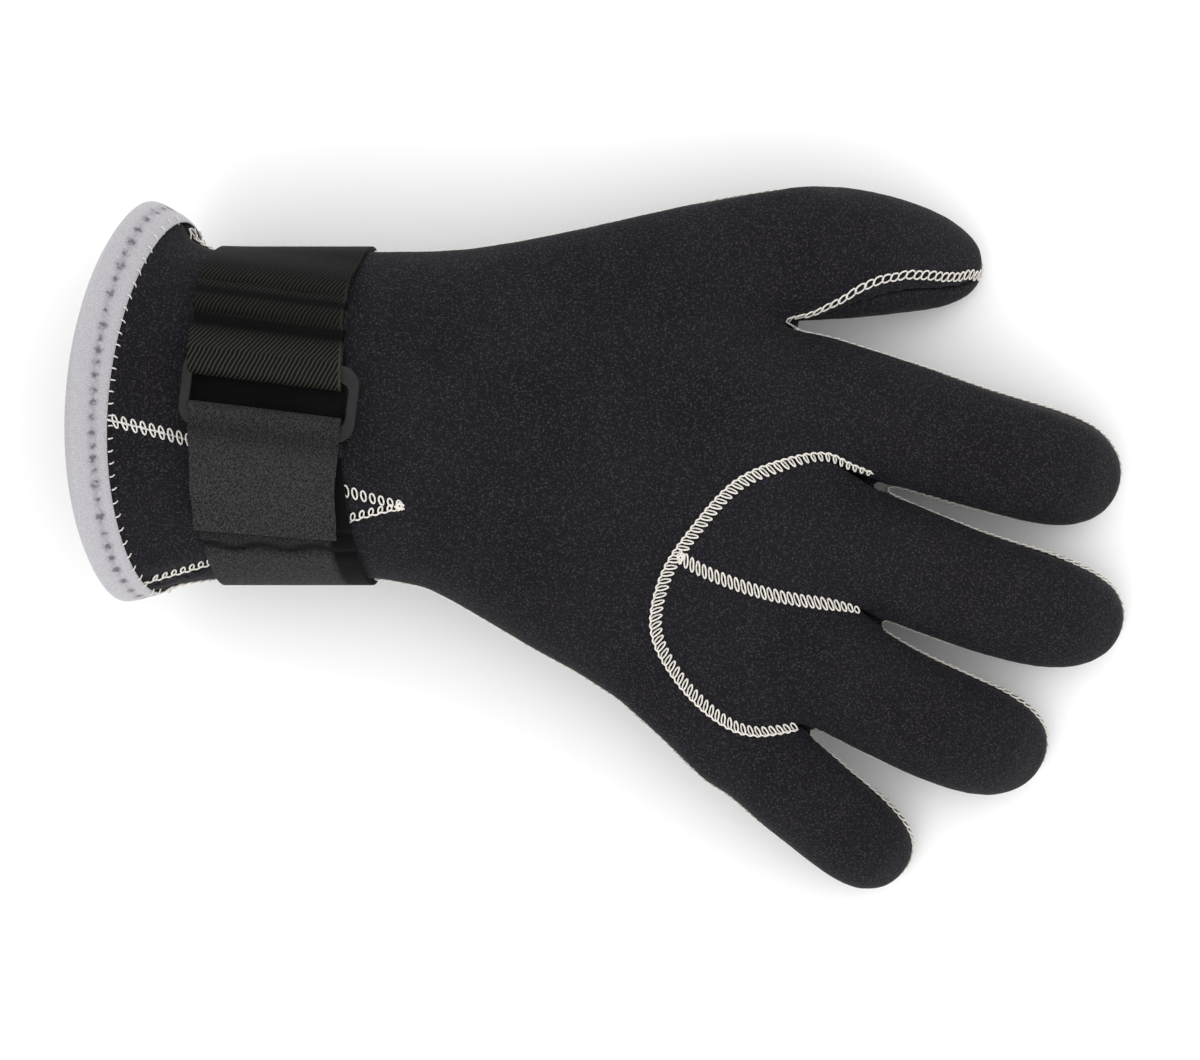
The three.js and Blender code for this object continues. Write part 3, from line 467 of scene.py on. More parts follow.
def fine_knit_group():
    """Speckle of a fine knitted facing: light loops on a dark ground, and their height."""
    name = "Fine knit"
    if name in bpy.data.node_groups:
        return bpy.data.node_groups[name]
    tree, given, made = node_group(
        name, {"Vector": "NodeSocketVector", "Size": "NodeSocketFloat"},
        {"Fleck": "NodeSocketFloat", "Height": "NodeSocketFloat", "Patch": "NodeSocketFloat"})
    place = given["Vector"]
    scale = maths(tree, "DIVIDE", 1.0, given["Size"])
    patch_scale = maths(tree, "MULTIPLY", scale, 0.02)
    loops = shader_node(tree, "ShaderNodeTexVoronoi", {"Vector": place, "Scale": scale, "Randomness": 0.9})
    grain = shader_node(tree, "ShaderNodeTexNoise", {"Vector": place, "Scale": scale})
    patch = shader_node(tree, "ShaderNodeTexNoise", {"Vector": place, "Scale": patch_scale})
    height = between_values(tree, loops.outputs["Distance"], 0.1, 0.7, 1.0, 0.0)
    fleck = maths(tree, "MULTIPLY", height, between_values(tree, grain.outputs["Fac"], 0.4, 0.66))
    tree.links.new(fleck, made["Fleck"])
    tree.links.new(height, made["Height"])
    tree.links.new(patch.outputs["Fac"], made["Patch"])
    return tree


def twill_group():
    """Diagonal ribs of a woven tape on its own UV map, each rib broken into short threads."""
    name = "Twill"
    if name in bpy.data.node_groups:
        return bpy.data.node_groups[name]
    tree, given, made = node_group(
        name, {"Vector": "NodeSocketVector", "Pitch": "NodeSocketFloat", "Slope": "NodeSocketFloat"},
        {"Rib": "NodeSocketFloat", "Height": "NodeSocketFloat"})
    place = shader_node(tree, "ShaderNodeSeparateXYZ", {0: given["Vector"]}).outputs
    wobble_scale = maths(tree, "DIVIDE", 0.4, given["Pitch"])
    wobble = shader_node(
        tree, "ShaderNodeTexNoise", {"Vector": given["Vector"], "Scale": wobble_scale}).outputs["Fac"]
    along = maths(tree, "ADD", maths(tree, "MULTIPLY", place["X"], given["Slope"]), place["Y"])
    steepness = maths(tree, "ADD", maths(tree, "MULTIPLY", given["Slope"], given["Slope"]), 1.0)
    period = maths(tree, "MULTIPLY", given["Pitch"], maths(tree, "SQRT", steepness))
    turns = maths(tree, "ADD", maths(tree, "DIVIDE", along, period), maths(tree, "MULTIPLY", wobble, 0.35))
    ribs = maths(tree, "SINE", maths(tree, "MULTIPLY", turns, 2 * pi))
    across = maths(tree, "DIVIDE", place["X"], given["Pitch"])
    picks = maths(tree, "SINE", maths(tree, "MULTIPLY", across, 4.4 * pi))
    rib = between_values(tree, ribs, -0.1, 1.0)
    thread = between_values(tree, picks, -1.0, 0.6, 0.85, 1.0)
    height = maths(tree, "MULTIPLY", rib, thread)
    tree.links.new(height, made["Height"])
    tree.links.new(rib, made["Rib"])
    return tree


def group_outputs(tree, group, inputs):
    return shader_node(tree, "ShaderNodeGroup", inputs, node_tree=group).outputs


def new_material(name, **shader):
    """A material and its Principled BSDF, with the shader's even values set on its own sockets."""
    material = bpy.data.materials.new(name)
    material.use_nodes = True
    principled = material.node_tree.nodes["Principled BSDF"]
    for socket, value in shader.items():
        principled.inputs[socket.replace("_", " ")].default_value = value
    return material, material.node_tree, principled


def bumped(tree, principled, height, depth, strength=1.0):
    bump = shader_node(tree, "ShaderNodeBump", {"Height": height, "Distance": depth, "Strength": strength})
    tree.links.new(bump.outputs[0], principled.inputs["Normal"])


def object_place(tree):
    return tree.nodes.new("ShaderNodeTexCoord").outputs["Object"]


def uv_place(tree):
    return shader_node(tree, "ShaderNodeUVMap", uv_map="UVMap").outputs[0]


def shaded(tree, colour, dark):
    """A colour that turns dark where the piece's own shade attribute says: painted shade, and on the tail
    also the black of its bare edge.
    """
    return mixed(tree, attribute(tree, "shade"), colour, toned(dark, 0.15))


# How deep each finish's relief is, and how large its grain
KNIT_RELIEF = 0.12 * MM
THREAD_RELIEF, THREAD_GRAIN = 0.08 * MM, 0.5 * MM
TAPE_RELIEF, TAPE_GRAIN, TAPE_MOTTLE = 0.07 * MM, 0.5 * MM, 1.1 * MM
TWILL_RELIEF = 0.22 * MM
PILE_RELIEF, PILE_LOOP, PILE_FIBRE = 0.3 * MM, 0.42 * MM, 0.36 * MM
PLASTIC_RELIEF, PLASTIC_GRAIN, PLASTIC_SCUFF = 0.03 * MM, 0.35 * MM, 4 * MM


def neoprene_material(values):
    material, tree, principled = new_material(
        "Neoprene", Roughness=0.82, Specular_IOR_Level=0.15, Sheen_Weight=0.03, Sheen_Roughness=0.45)
    knit = group_outputs(tree, fine_knit_group(), {"Vector": object_place(tree), "Size": values.knit_size})
    colour = two_colours(tree, knit["Fleck"], values.colour, values.fleck)
    tree.links.new(shaded(tree, colour, values.colour), principled.inputs["Base Color"])
    rough = between_values(tree, knit["Patch"], 0.3, 0.7, 0.78, 0.9)
    tree.links.new(rough, principled.inputs["Roughness"])
    bumped(tree, principled, knit["Height"], KNIT_RELIEF, 0.7)
    return material


def thread_material(values):
    material, tree, principled = new_material("Thread", Roughness=0.7, Sheen_Weight=0.2)
    fuzz = noise(tree, object_place(tree), THREAD_GRAIN)
    colour = two_colours(tree, fuzz, toned(values.colour, 0.72), values.colour, 0.3, 0.62)
    tree.links.new(colour, principled.inputs["Base Color"])
    bumped(tree, principled, fuzz, THREAD_RELIEF)
    return material


def binding_material(values):
    material, tree, principled = new_material("Grey binding", Roughness=0.85, Sheen_Weight=0.3)
    parts = shader_node(tree, "ShaderNodeSeparateXYZ", {0: uv_place(tree)}).outputs
    ribs = maths(tree, "SINE", maths(tree, "MULTIPLY", parts["X"], 2 * pi / values.rib_pitch))
    knit = group_outputs(tree, fine_knit_group(), {"Vector": object_place(tree), "Size": TAPE_GRAIN})
    rib = between_values(tree, ribs, -0.9, 0.9)
    light = maths(tree, "MULTIPLY", rib, knit["Height"])
    ground = two_colours(tree, light, toned(values.colour, 0.8), values.colour, 0.0, 0.5)
    mottle = noise(tree, object_place(tree), TAPE_MOTTLE, 3.0)
    patches = between_values(tree, mottle, 0.3, 0.6, 0.35, 1.3)
    # painted shade in the stitch dimples and their groove, broken into patches
    hole_shade = maths(tree, "MULTIPLY", attribute(tree, "stitch_hole"), patches)
    # painted shade between the ribs, fading from the cuff's edge
    beside_edge = between_values(tree, parts["Y"], 0.2 * MM, 2.6 * MM, 0.75, 0.08)
    edge_rib_shade = maths(tree, "MULTIPLY", maths(tree, "SUBTRACT", 1.0, rib), beside_edge)
    colour = mixed(tree, maths(tree, "MAXIMUM", hole_shade, edge_rib_shade), ground, values.shade)
    tree.links.new(colour, principled.inputs["Base Color"])
    bumped(tree, principled, maths(tree, "ADD", rib, knit["Height"]), TAPE_RELIEF)
    return material


def webbing_material(values):
    material, tree, principled = new_material("Twill webbing", Roughness=0.66, Specular_IOR_Level=0.1)
    twill = group_outputs(
        tree, twill_group(), {"Vector": uv_place(tree), "Pitch": values.twill_pitch, "Slope": TWILL_SLOPE})
    across = shader_node(tree, "ShaderNodeSeparateXYZ", {0: uv_place(tree)}).outputs["X"]
    # painted highlight: a lighter line along the webbing's front edge
    edge_highlight = between_values(tree, across, 0.4 * MM, 0.8 * MM, 0.7, 0.0)
    light = maths(tree, "MAXIMUM", twill["Height"], edge_highlight)
    colour = two_colours(tree, light, values.webbing_colour, values.rib_colour, 0.25, 0.95)
    tree.links.new(shaded(tree, colour, values.webbing_colour), principled.inputs["Base Color"])
    bumped(tree, principled, twill["Height"], TWILL_RELIEF)
    return material


def tail_material(values):
    material, tree, principled = new_material(
        "Hook and loop tail", Roughness=0.95, Specular_IOR_Level=0.1, Sheen_Weight=0.02)
    brushed_way = {"Vector": uv_place(tree), "Rotation": (0, 0, radians(60)), "Scale": (2.6, 1, 1)}
    brushed = shader_node(tree, "ShaderNodeMapping", brushed_way, vector_type="TEXTURE").outputs[0]
    knit = group_outputs(tree, fine_knit_group(), {"Vector": object_place(tree), "Size": PILE_LOOP})
    fibres = noise(tree, brushed, PILE_FIBRE, distortion=0.4)
    loops = maths(tree, "MULTIPLY", knit["Height"], 0.3)
    pile = maths(tree, "ADD", loops, maths(tree, "MULTIPLY", fibres, 0.8))
    colour = two_colours(tree, pile, values.tail_colour, values.pile_colour, 0.35, 0.85)
    tree.links.new(shaded(tree, colour, values.tail_colour), principled.inputs["Base Color"])
    bumped(tree, principled, pile, PILE_RELIEF)
    return material


def ring_material(values):
    material, tree, principled = new_material("Ring plastic", Roughness=0.38, Specular_IOR_Level=0.24)
    grain = noise(tree, object_place(tree), PLASTIC_GRAIN, 3.0)
    scuffs = noise(tree, object_place(tree), PLASTIC_SCUFF, 4.0)
    colour = two_colours(tree, scuffs, values.ring_colour, toned(values.ring_colour, 2.2), 0.4, 0.75)
    tree.links.new(colour, principled.inputs["Base Color"])
    tree.links.new(between_values(tree, scuffs, 0.35, 0.7, 0.34, 0.5), principled.inputs["Roughness"])
    bumped(tree, principled, grain, PLASTIC_RELIEF, 0.6)
    return material


# The hand's form, which panels and stitches share

class Form:
    """The smoothed form of the whole glove, its outer skin and its seams."""

    def __init__(self, values):
        self.values = values
        nodes = [*BACK_PANELS.values(), *PALM_PANELS.values()]
        self.bm = remeshed("form", merged_copy(*nodes), values.form_detail, values.smoothing)
        skin = BVHTree.FromBMesh(self.bm)
        places = [self.plumped(vert, skin) for vert in self.bm.verts]
        for vert, place in zip(self.bm.verts, places):
            vert.co = place
        self.bm.normal_update()
        self.tree = BVHTree.FromBMesh(self.bm)
        self.seams = {
            "knuckle": self.on_top([on_palm(*row) for row in KNUCKLE_SEAM]),
            "branch": self.on_top([on_palm(*row) for row in BRANCH_SEAM]),
            "gusset_upper": self.on_top([on_palm(*GUSSET_POINT), *[on_cuff(*row) for row in GUSSET_UPPER]]),
            "gusset_lower": self.on_top([on_palm(*GUSSET_POINT), *[on_cuff(*row) for row in GUSSET_LOWER]]),
            "side": self.side_seam(),
        }
        self.draw_in_seams()
        self.tree = BVHTree.FromBMesh(self.bm)

    def plumped(self, vert, skin):
        """A point pushed out, and less where it faces another digit across a narrow gap."""
        ahead = skin.ray_cast(vert.co + vert.normal * 0.3 * MM, vert.normal, WIDE_GAP)[3]
        share = 1 if ahead is None else smoothstep(NARROW_GAP, WIDE_GAP, ahead)
        place = vert.co + vert.normal * self.values.plump * share
        place.z = max(place.z, 0)
        return place

    def on_top(self, plan):
        """A seam of the back, drawn in plan and dropped onto the form from above."""
        line = catmull_rom(plan, 8)
        dropped = []
        for point in resampled(line, SEAM_SAMPLE):
            place = self.tree.ray_cast(Vector((point.x, point.y, 1)), Vector((0, 0, -1)))[0]
            if place and cuff_depth(place) > 0:
                dropped.append(place)
        return dropped

    def side_seam(self):
        """The seam between palm and back, from the cuff round every digit and back to the cuff."""
        palm = BVHTree.FromBMesh(merged_copy(*PALM_PANELS.values()))
        back = BVHTree.FromBMesh(merged_copy(*BACK_PANELS.values()))
        is_palm = {}
        for face in self.bm.faces:
            middle = face.calc_center_median()
            is_palm[face] = palm.find_nearest(middle)[3] < back.find_nearest(middle)[3]
        border = [e for e in self.bm.edges if len({is_palm[f] for f in e.link_faces}) == 2]
        loop = border_loop(border, is_palm)
        # The border runs outside and comes back inside: it is cut where it crosses the cuff's edge
        middle = WRIST_MIDDLE.x
        thumb_side = min((i for i, p in enumerate(loop) if p.y > middle), key=lambda i: cuff_depth(loop[i]))
        far_side = min((i for i, p in enumerate(loop) if p.y < middle), key=lambda i: cuff_depth(loop[i]))
        loop = loop[thumb_side:] + loop[:thumb_side]
        far = (far_side - thumb_side) % len(loop)
        line = max(loop[:far + 1], [*loop[far:], loop[0]][::-1], key=line_length)
        for _ in range(SEAM_ROUNDS):
            line = [line[0], *[(a + 2 * b + c) / 4 for a, b, c in zip(line, line[1:], line[2:])], line[-1]]
        return resampled(line, SEAM_SAMPLE)

    def draw_in_seams(self):
        """Draws the surface in along the seams, with a soft swell beside them."""
        points = [p for line in self.seams.values() for p in line]
        normals = [self.tree.find_nearest(p)[1] for p in points]
        near = KDTree(len(points))
        for i, point in enumerate(points):
            near.insert(point, i)
        near.balance()
        depth, reach = self.values.seam_depth, self.values.seam_reach
        for vert in self.bm.verts:
            _, i, distance = near.find(vert.co)
            if distance < 5 * reach and vert.normal.dot(normals[i]) > 0:
                swell = SEAM_SWELL * hump(distance, SWELL_PLACE * reach, reach)
                vert.co += vert.normal * depth * (swell - hump(distance, 0, reach))
                vert.co.z = max(vert.co.z, 0)
        self.bm.normal_update()


def line_length(line):
    return sum((b - a).length for a, b in zip(line, line[1:]))


def border_loop(edges, inside):
    """The points of the longest closed line through border edges, with the inside faces on its left."""
    onward = {}
    for edge in edges:
        for side in edge.link_loops:
            if inside[side.face]:
                onward.setdefault(side.vert, []).append(side.link_loop_next.vert)
    loops = []
    for first in list(onward):
        while onward[first]:
            loop, vert = [], first
            while onward[vert]:
                vert = onward[vert].pop()
                loop.append(vert)
            loops.append(loop)
    loops.sort(key=len, reverse=True)
    joined = loops[0]
    for loop in loops[1:]:
        shared = set(joined).intersection(loop) if len(loop) > SHORTEST_LOBE else ()
        if shared:
            pinch = next(iter(shared))
            at, start = joined.index(pinch) + 1, loop.index(pinch) + 1
            joined[at:at] = loop[start:] + loop[:start]
    return [vert.co.copy() for vert in joined]


def on_palm(along, across):
    """A place on the back of the hand, in plan."""
    return Vector((STRAP_FRONT + along * PALM_SIZE.x, WRIST_MIDDLE.x + across * PALM_SIZE.y, 0))


def on_cuff(along, across):
    """A place on the cuff, in plan."""
    start = on_palm(*GUSSET_POINT).x
    edge = STRAP_FRONT + CUFF_EDGE
    return Vector((start + (edge - start) * along, WRIST_MIDDLE.x + across * CUFF_WIDTH, 0))


class CuffEdge:
    """The cuff's edge as it runs round the binding: how far back it lies at each angle."""

    STEPS = 72

    def __init__(self):
        bm = merged_copy("cuff_binding")
        bmesh.ops.subdivide_edges(bm, edges=bm.edges, cuts=2)
        low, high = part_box("cuff_binding")
        self.middle = (Vector(low) + Vector(high)) / 2
        self.radius = (high[1] - low[1]) / 2
        self.back = [inf] * self.STEPS
        for vert in bm.verts:
            step = floor(self.turn(vert.co) * self.STEPS) % self.STEPS
            self.back[step] = min(self.back[step], vert.co.x)
        bm.free()

    def turn(self, point):
        """The share of a turn round the cuff at which a point lies."""
        return atan2(point.y - self.middle.y, point.z - self.middle.z) / (2 * pi) % 1

    def depth(self, point):
        """How far inside the cuff's edge a point lies, seen from above."""
        place = self.turn(point) * self.STEPS - 0.5
        step = floor(place)
        before, after = self.back[step % self.STEPS], self.back[(step + 1) % self.STEPS]
        return point.x - before - (after - before) * (place - step)


CUFF = CuffEdge()


def cuff_depth(point):
    return CUFF.depth(point)


FORM = {}


def form(context):
    if "form" not in FORM:
        FORM["form"] = Form(settings(context, "neoprene"))
    return FORM["form"]


def ring_slot_shadow(point):
    """Painted shadow: 1 where the neoprene lies in the ring's slot, between the two straps that run round
    its bars.
    """
    half = (Vector(RING_HIGH) - Vector(RING_LOW)) / 2
    away = point - RING_MIDDLE
    if away.z < -SHADOW_DEPTH:
        return 0
    inset = half.x - SHADOW_INSET
    between_ends = 1 - smoothstep(inset - SHADOW_SOFT, inset, abs(away.x))
    return between_ends * (1 - smoothstep(half.y - SHADOW_SOFT, half.y + SHADOW_SOFT, abs(away.y)))


class GLOVE_OT_neoprene(bpy.types.Operator):
    """Builds the neoprene panels of palm, back, fingers and cuff"""

    bl_idname = "glove.neoprene"
    bl_label = "Neoprene Panels"

    def execute(self, context):
        values = settings(context, "neoprene")
        hand = form(context)
        material = neoprene_material(values)
        forks = [on_palm(*fork) for fork in (INDEX_MIDDLE_FORK, MIDDLE_RING_FORK, RING_LITTLE_FORK)]
        for name, node in (BACK_PANELS | PALM_PANELS).items():
            panel = remeshed(name, panel_copy(node), values.detail, PANEL_SMOOTHING)
            for vert in panel.verts:
                vert.co += vert.normal * PANEL_SWELL * smoothstep(0.2, 0.7, vert.normal.z)
            panel.normal_update()
            shade = panel.verts.layers.float.new("shade")
            for vert in panel.verts:
                place, normal, _, away = hand.tree.find_nearest(vert.co)
                in_fork = max(hump((vert.co.xy - fork.xy).length, 0, FORK_SOFT) for fork in forks)
                share = smoothstep(0.35, 0.85, vert.normal.dot(normal))
                share *= 1 - in_fork * smoothstep(*FORK_AWAY, away)
                vert.co = vert.co.lerp(place, share)
                vert.co.z = max(vert.co.z, 0)
                # painted shadow in the ring's slot, carried by the shade attribute
                vert[shade] = ring_slot_shadow(vert.co)
            finish_piece(name, to_mesh(name, panel), material, [node])
        return {"FINISHED"}


# Stitches

class Seam:
    """A line on the form, measured along its length."""

    def __init__(self, points, tree):
        self.tree = tree
        self.points = points
        self.spacing = line_length(points) / (len(points) - 1)
        self.length = self.spacing * (len(points) - 1)

    def at(self, along, across, height):
        """A point at this length along the seam, beside it and above the skin."""
        place = min(max(along / self.spacing, 0), len(self.points) - 1.001)
        i = floor(place)
        middle = self.points[i].lerp(self.points[i + 1], place - i)
        before, after = self.points[max(i - 2, 0)], self.points[min(i + 3, len(self.points) - 1)]
        normal = self.tree.find_nearest(middle)[1]
        side = normal.cross(after - before).normalized()
        surface, skin_normal, _, _ = self.tree.find_nearest(middle + side * across)
        return surface + skin_normal * height


# Kinds of stitch: pitch, width and length of a loop in mm, its slant as along per across, the side on
# which a twisted chain closes the loops, whether the row lies beside its seam as the side seam's does,
# and the width's share at the seam's start and at its end
Stitch = namedtuple("Stitch", "pitch width length slant chain shift taper")
STITCHES = {
    "chained": Stitch(1.95, 2.7, 1.0, -0.55, -1, False, (0.4, 0.7)),
    "rings": Stitch(1.85, 3.0, 1.0, -0.6, 0, False, (1, 0.35)),
    "slanted": Stitch(2.3, 2.9, 1.3, -0.5, 0, False, (0.6, 1)),
    "triangles": Stitch(2.4, 2.0, 1.2, 0.3, 1, False, (0.7, 1)),
    "crossed": Stitch(2.2, 2.3, 2.7, 0.25, 0, True, (1, 1)),
}
LOOP_POINTS = 12
CHAIN_POINTS = 8
TAPER = 0.2  # the share of a seam's length in which its row reaches the whole width
BINDING_CLEARANCE = 2 * MM
SIDE_HIDDEN = 2.8 * MM
# Where the side seam shows from above, as shares of the palm: three fingertips, and the thumb's inner
# side, each with the row's shift towards the palm in mm
SIDE_SHOWN = (
    (1.467, -0.365, -0.3), (1.346, -0.678, -0.3), (1.096, -0.926, -0.3),
    (0.86, 0.24, -2.5), (0.95, 0.26, -4.5), (1.04, 0.27, -6), (1.12, 0.27, -5), (1.19, 0.28, -2.5),
)
SHOWN_REACH = 10 * MM
KNOTTED = ("branch", "gusset_lower")
KNOT_LOOPS = 3
KNOT_SIZE = 2.2 * MM
TICK_PITCH = 4.5 * MM
TICK_LENGTH = 1.3 * MM
TICK_SHIFT = 1.9 * MM


def add_thread(curve, points, closed=False):
    spline = curve.splines.new("POLY")
    spline.points.add(len(points) - 1)
    spline.use_cyclic_u = closed
    for target, point in zip(spline.points, points):
        target.co = (*point, 1)


def side_shift(seam, along):
    """How far the side seam's stitches lie from it towards the palm: hidden, but where SIDE_SHOWN says."""
    point = seam.at(along, 0, 0)
    total, shift = 0, 0
    for ahead, across, row_shift in SIDE_SHOWN:
        near = hump((point.xy - on_palm(ahead, across).xy).length, 0, SHOWN_REACH)
        total += near
        shift += near * (row_shift * MM - SIDE_HIDDEN)
    return SIDE_HIDDEN + shift / max(1, total)


def sew(curve, seam, kind, thread):
    """Sews one kind of stitch along a seam: a row of loops that lock into each other, and a chain."""
    row = STITCHES[kind]
    pitch = row.pitch * MM
    count = max(1, floor(seam.length / pitch))
    first, last = row.taper

    def half_width(along):
        share = along / seam.length
        from_start = first + (1 - first) * min(share / TAPER, 1)
        from_end = last + (1 - last) * min((1 - share) / TAPER, 1)
        return row.width * MM / 2 * min(from_start, from_end)

    for k in range(count):
        middle = pitch * (k + 0.5)
        wide = half_width(middle)
        if cuff_depth(seam.at(middle, 0, 0)) < BINDING_WIDTH + BINDING_CLEARANCE:
            continue
        shift = side_shift(seam, middle) if row.shift else 0
        loop = []
        for i in range(LOOP_POINTS):
            angle = 2 * pi * i / LOOP_POINTS
            across = wide * cos(angle)
            along = middle + row.length * MM / 2 * sin(angle) + row.slant * across
            loop.append(seam.at(along, across + shift, thread * (0.55 + 0.5 * sin(angle))))
        add_thread(curve, loop, closed=True)
    if row.chain:
        chain = []
        for i in range(count * CHAIN_POINTS + 1):
            angle = 2 * pi * i / CHAIN_POINTS
            along = pitch * i / CHAIN_POINTS
            across = row.chain * half_width(along) + 0.4 * thread * cos(angle)
            chain.append(seam.at(along, across, thread * (0.7 + 0.3 * sin(angle))))
        add_thread(curve, chain)


def thread_mesh(name, curve):
    """The mesh of a curve's threads."""
    carrier = bpy.data.objects.new(name, curve)
    bpy.context.scene.collection.objects.link(carrier)
    mesh = bpy.data.meshes.new_from_object(carrier.evaluated_get(bpy.context.evaluated_depsgraph_get()))
    bpy.data.objects.remove(carrier)
    mesh.name = name
    return mesh


def new_thread(name, thickness):
    curve = bpy.data.curves.new(name, "CURVE")
    curve.dimensions = "3D"
    curve.bevel_depth = thickness / 2
    curve.bevel_resolution = 1
    curve.use_fill_caps = True
    return curve


def tie_knot(curve, seam, thread):
    """A knot at the start of a seam: a few loops of thread across each other."""
    for k in range(KNOT_LOOPS):
        turn = pi * k / KNOT_LOOPS
        loop = []
        for i in range(LOOP_POINTS):
            angle = 2 * pi * i / LOOP_POINTS
            long, short = KNOT_SIZE / 2 * cos(angle), KNOT_SIZE / 5 * sin(angle)
            along = KNOT_SIZE / 2 + long * cos(turn) - short * sin(turn)
            across = long * sin(turn) + short * cos(turn)
            loop.append(seam.at(along, across, thread * (0.7 + 0.4 * k / KNOT_LOOPS + 0.3 * sin(2 * angle))))
        add_thread(curve, loop, closed=True)


def sew_cuff_ticks(curve, hand):
    """Short stitches that cross from the binding's inner edge onto the neoprene."""
    count = round(2 * pi * CUFF.radius / TICK_PITCH)
    for k in range(count):
        turn = (k + 0.5) / count
        outward = Vector((0, sin(2 * pi * turn), cos(2 * pi * turn)))
        edge = CUFF.back[floor(turn * CUFF.STEPS) % CUFF.STEPS] + BINDING_WIDTH + TICK_SHIFT
        tick = []
        for depth, height in ((-TICK_LENGTH / 2, 1.0 * MM), (0, 0.9 * MM), (TICK_LENGTH / 2, 0)):
            start = Vector((edge + depth, *CUFF.middle.yz)) + outward * 2 * CUFF.radius
            place, normal, _, _ = hand.tree.ray_cast(start, -outward)
            if place:
                tick.append(place + normal * height)
        if len(tick) > 2:
            add_thread(curve, tick)


class GLOVE_OT_stitches(bpy.types.Operator):
    """Sews the seams with white thread"""

    bl_idname = "glove.stitches"
    bl_label = "Seam Stitches"

    def execute(self, context):
        values = settings(context, "stitches")
        hand = form(context)
        material = thread_material(values)
        seams = {name: Seam(points, hand.tree) for name, points in hand.seams.items()}
        rows = {
            "stitches_knuckle": [("knuckle", "chained")],
            "stitches_branch": [("branch", "rings")],
            "stitches_gusset": [("gusset_upper", "slanted"), ("gusset_lower", "triangles")],
            "stitches_side": [("side", "crossed")],
        }
        for name, sewn in rows.items():
            curve = new_thread(name, values.thread)
            for seam, kind in sewn:
                sew(curve, seams[seam], kind, values.thread)
                if seam in KNOTTED:
                    tie_knot(curve, seams[seam], values.thread)
            finish_piece(name, thread_mesh(name, curve), material)
        curve = new_thread("stitches_cuff", 0.8 * values.thread)
        sew_cuff_ticks(curve, hand)
        finish_piece("stitches_cuff", thread_mesh("stitches_cuff", curve), material)
        return {"FINISHED"}


# Cuff binding

STITCH_HOLE = 0.75 * MM
STITCH_ROW = 1.1 * MM  # half the width of the groove that the row of stitches pulls in,
GROOVE_DEPTH = 0.2 * MM  # and how deep it is
STITCH_DRIFT = 0.16  # by how much of a pitch a stitch lies off its even place


class GLOVE_OT_binding(bpy.types.Operator):
    """Builds the grey tape folded over the cuff's edge, with its row of stitches"""

    bl_idname = "glove.binding"
    bl_label = "Cuff Binding"

    def execute(self, context):
        values = settings(context, "binding")
        name = "grey_cuff_binding"
        bm = merged_copy("cuff_binding")
        bmesh.ops.join_triangles(
            bm, faces=bm.faces, angle_face_threshold=radians(80), angle_shape_threshold=radians(80))
        mesh = evaluated_mesh(name, to_mesh(name, bm), [
            ("SUBSURF", {"levels": 3, "render_levels": 3}),
        ])
        bm = bmesh.new()
        bm.from_mesh(mesh)
        bpy.data.meshes.remove(mesh)
        bm.normal_update()
        round_cuff = 2 * pi * CUFF.radius
        stitches = round(round_cuff / values.dimple_pitch)
        hole = bm.verts.layers.float.new("stitch_hole")
        uv = bm.loops.layers.uv.new("UVMap")
        for vert in bm.verts:
            outer = smoothstep(-0.2, 0.2, vert.normal.dot(vert.co - Vector((vert.co.x, *CUFF.middle.yz))))
            place = CUFF.turn(vert.co) * stitches
            number = floor(place)
            depth = cuff_depth(vert.co)
            step = place % 1 - 0.5 + STITCH_DRIFT * sin(5.3 * number)
            beside = hypot(step * values.dimple_pitch, depth - values.dimple_row)
            pull = hump(beside, 0, STITCH_HOLE + 0.2 * MM * sin(2.9 * number))
            row = hump(depth, values.dimple_row, STITCH_ROW)
            # painted shade in the dimples and along the groove that the stitches pull in
            vert[hole] = min(1, 1.3 * pull + 0.3 * row)
            vert.co -= vert.normal * (values.dimple_depth * pull + GROOVE_DEPTH * row) * outer
            vert.co.z = max(vert.co.z, 0)
        for face in bm.faces:
            turns = [CUFF.turn(loop.vert.co) for loop in face.loops]
            wraps = max(turns) - min(turns) > 0.5
            for loop, turn in zip(face.loops, turns):
                turn += wraps and turn < 0.5
                loop[uv].uv = (turn * round_cuff, cuff_depth(loop.vert.co))
        finish_piece(name, to_mesh(name, bm), binding_material(values), ["cuff_binding"])
        return {"FINISHED"}


# Strap and ring

def wrist_lean(z):
    """How far the wrist's sections lean back at a height."""
    share = min(max((z - WRIST_MIDDLE.y) / WRIST_HALF.y, -1), 1)
    even = (1 + PALM_SIDE_LEAN) / 2 * share
    crowned = (1 - PALM_SIDE_LEAN) / 2 * share ** 2
    return -tan(WRIST_LEAN) * WRIST_HALF.y * (even + crowned)


def on_wrist(angle, offset):
    """A point [y, z] beside the wrist's ellipse, at an angle from the thumb's side."""
    direction = Vector((cos(angle), sin(angle)))
    normal = Vector((direction.x / WRIST_HALF.x, direction.y / WRIST_HALF.y)).normalized()
    return WRIST_MIDDLE + Vector((direction.x * WRIST_HALF.x, direction.y * WRIST_HALF.y)) + normal * offset


def angle_at(y):
    return acos((y - WRIST_MIDDLE.x) / WRIST_HALF.x)


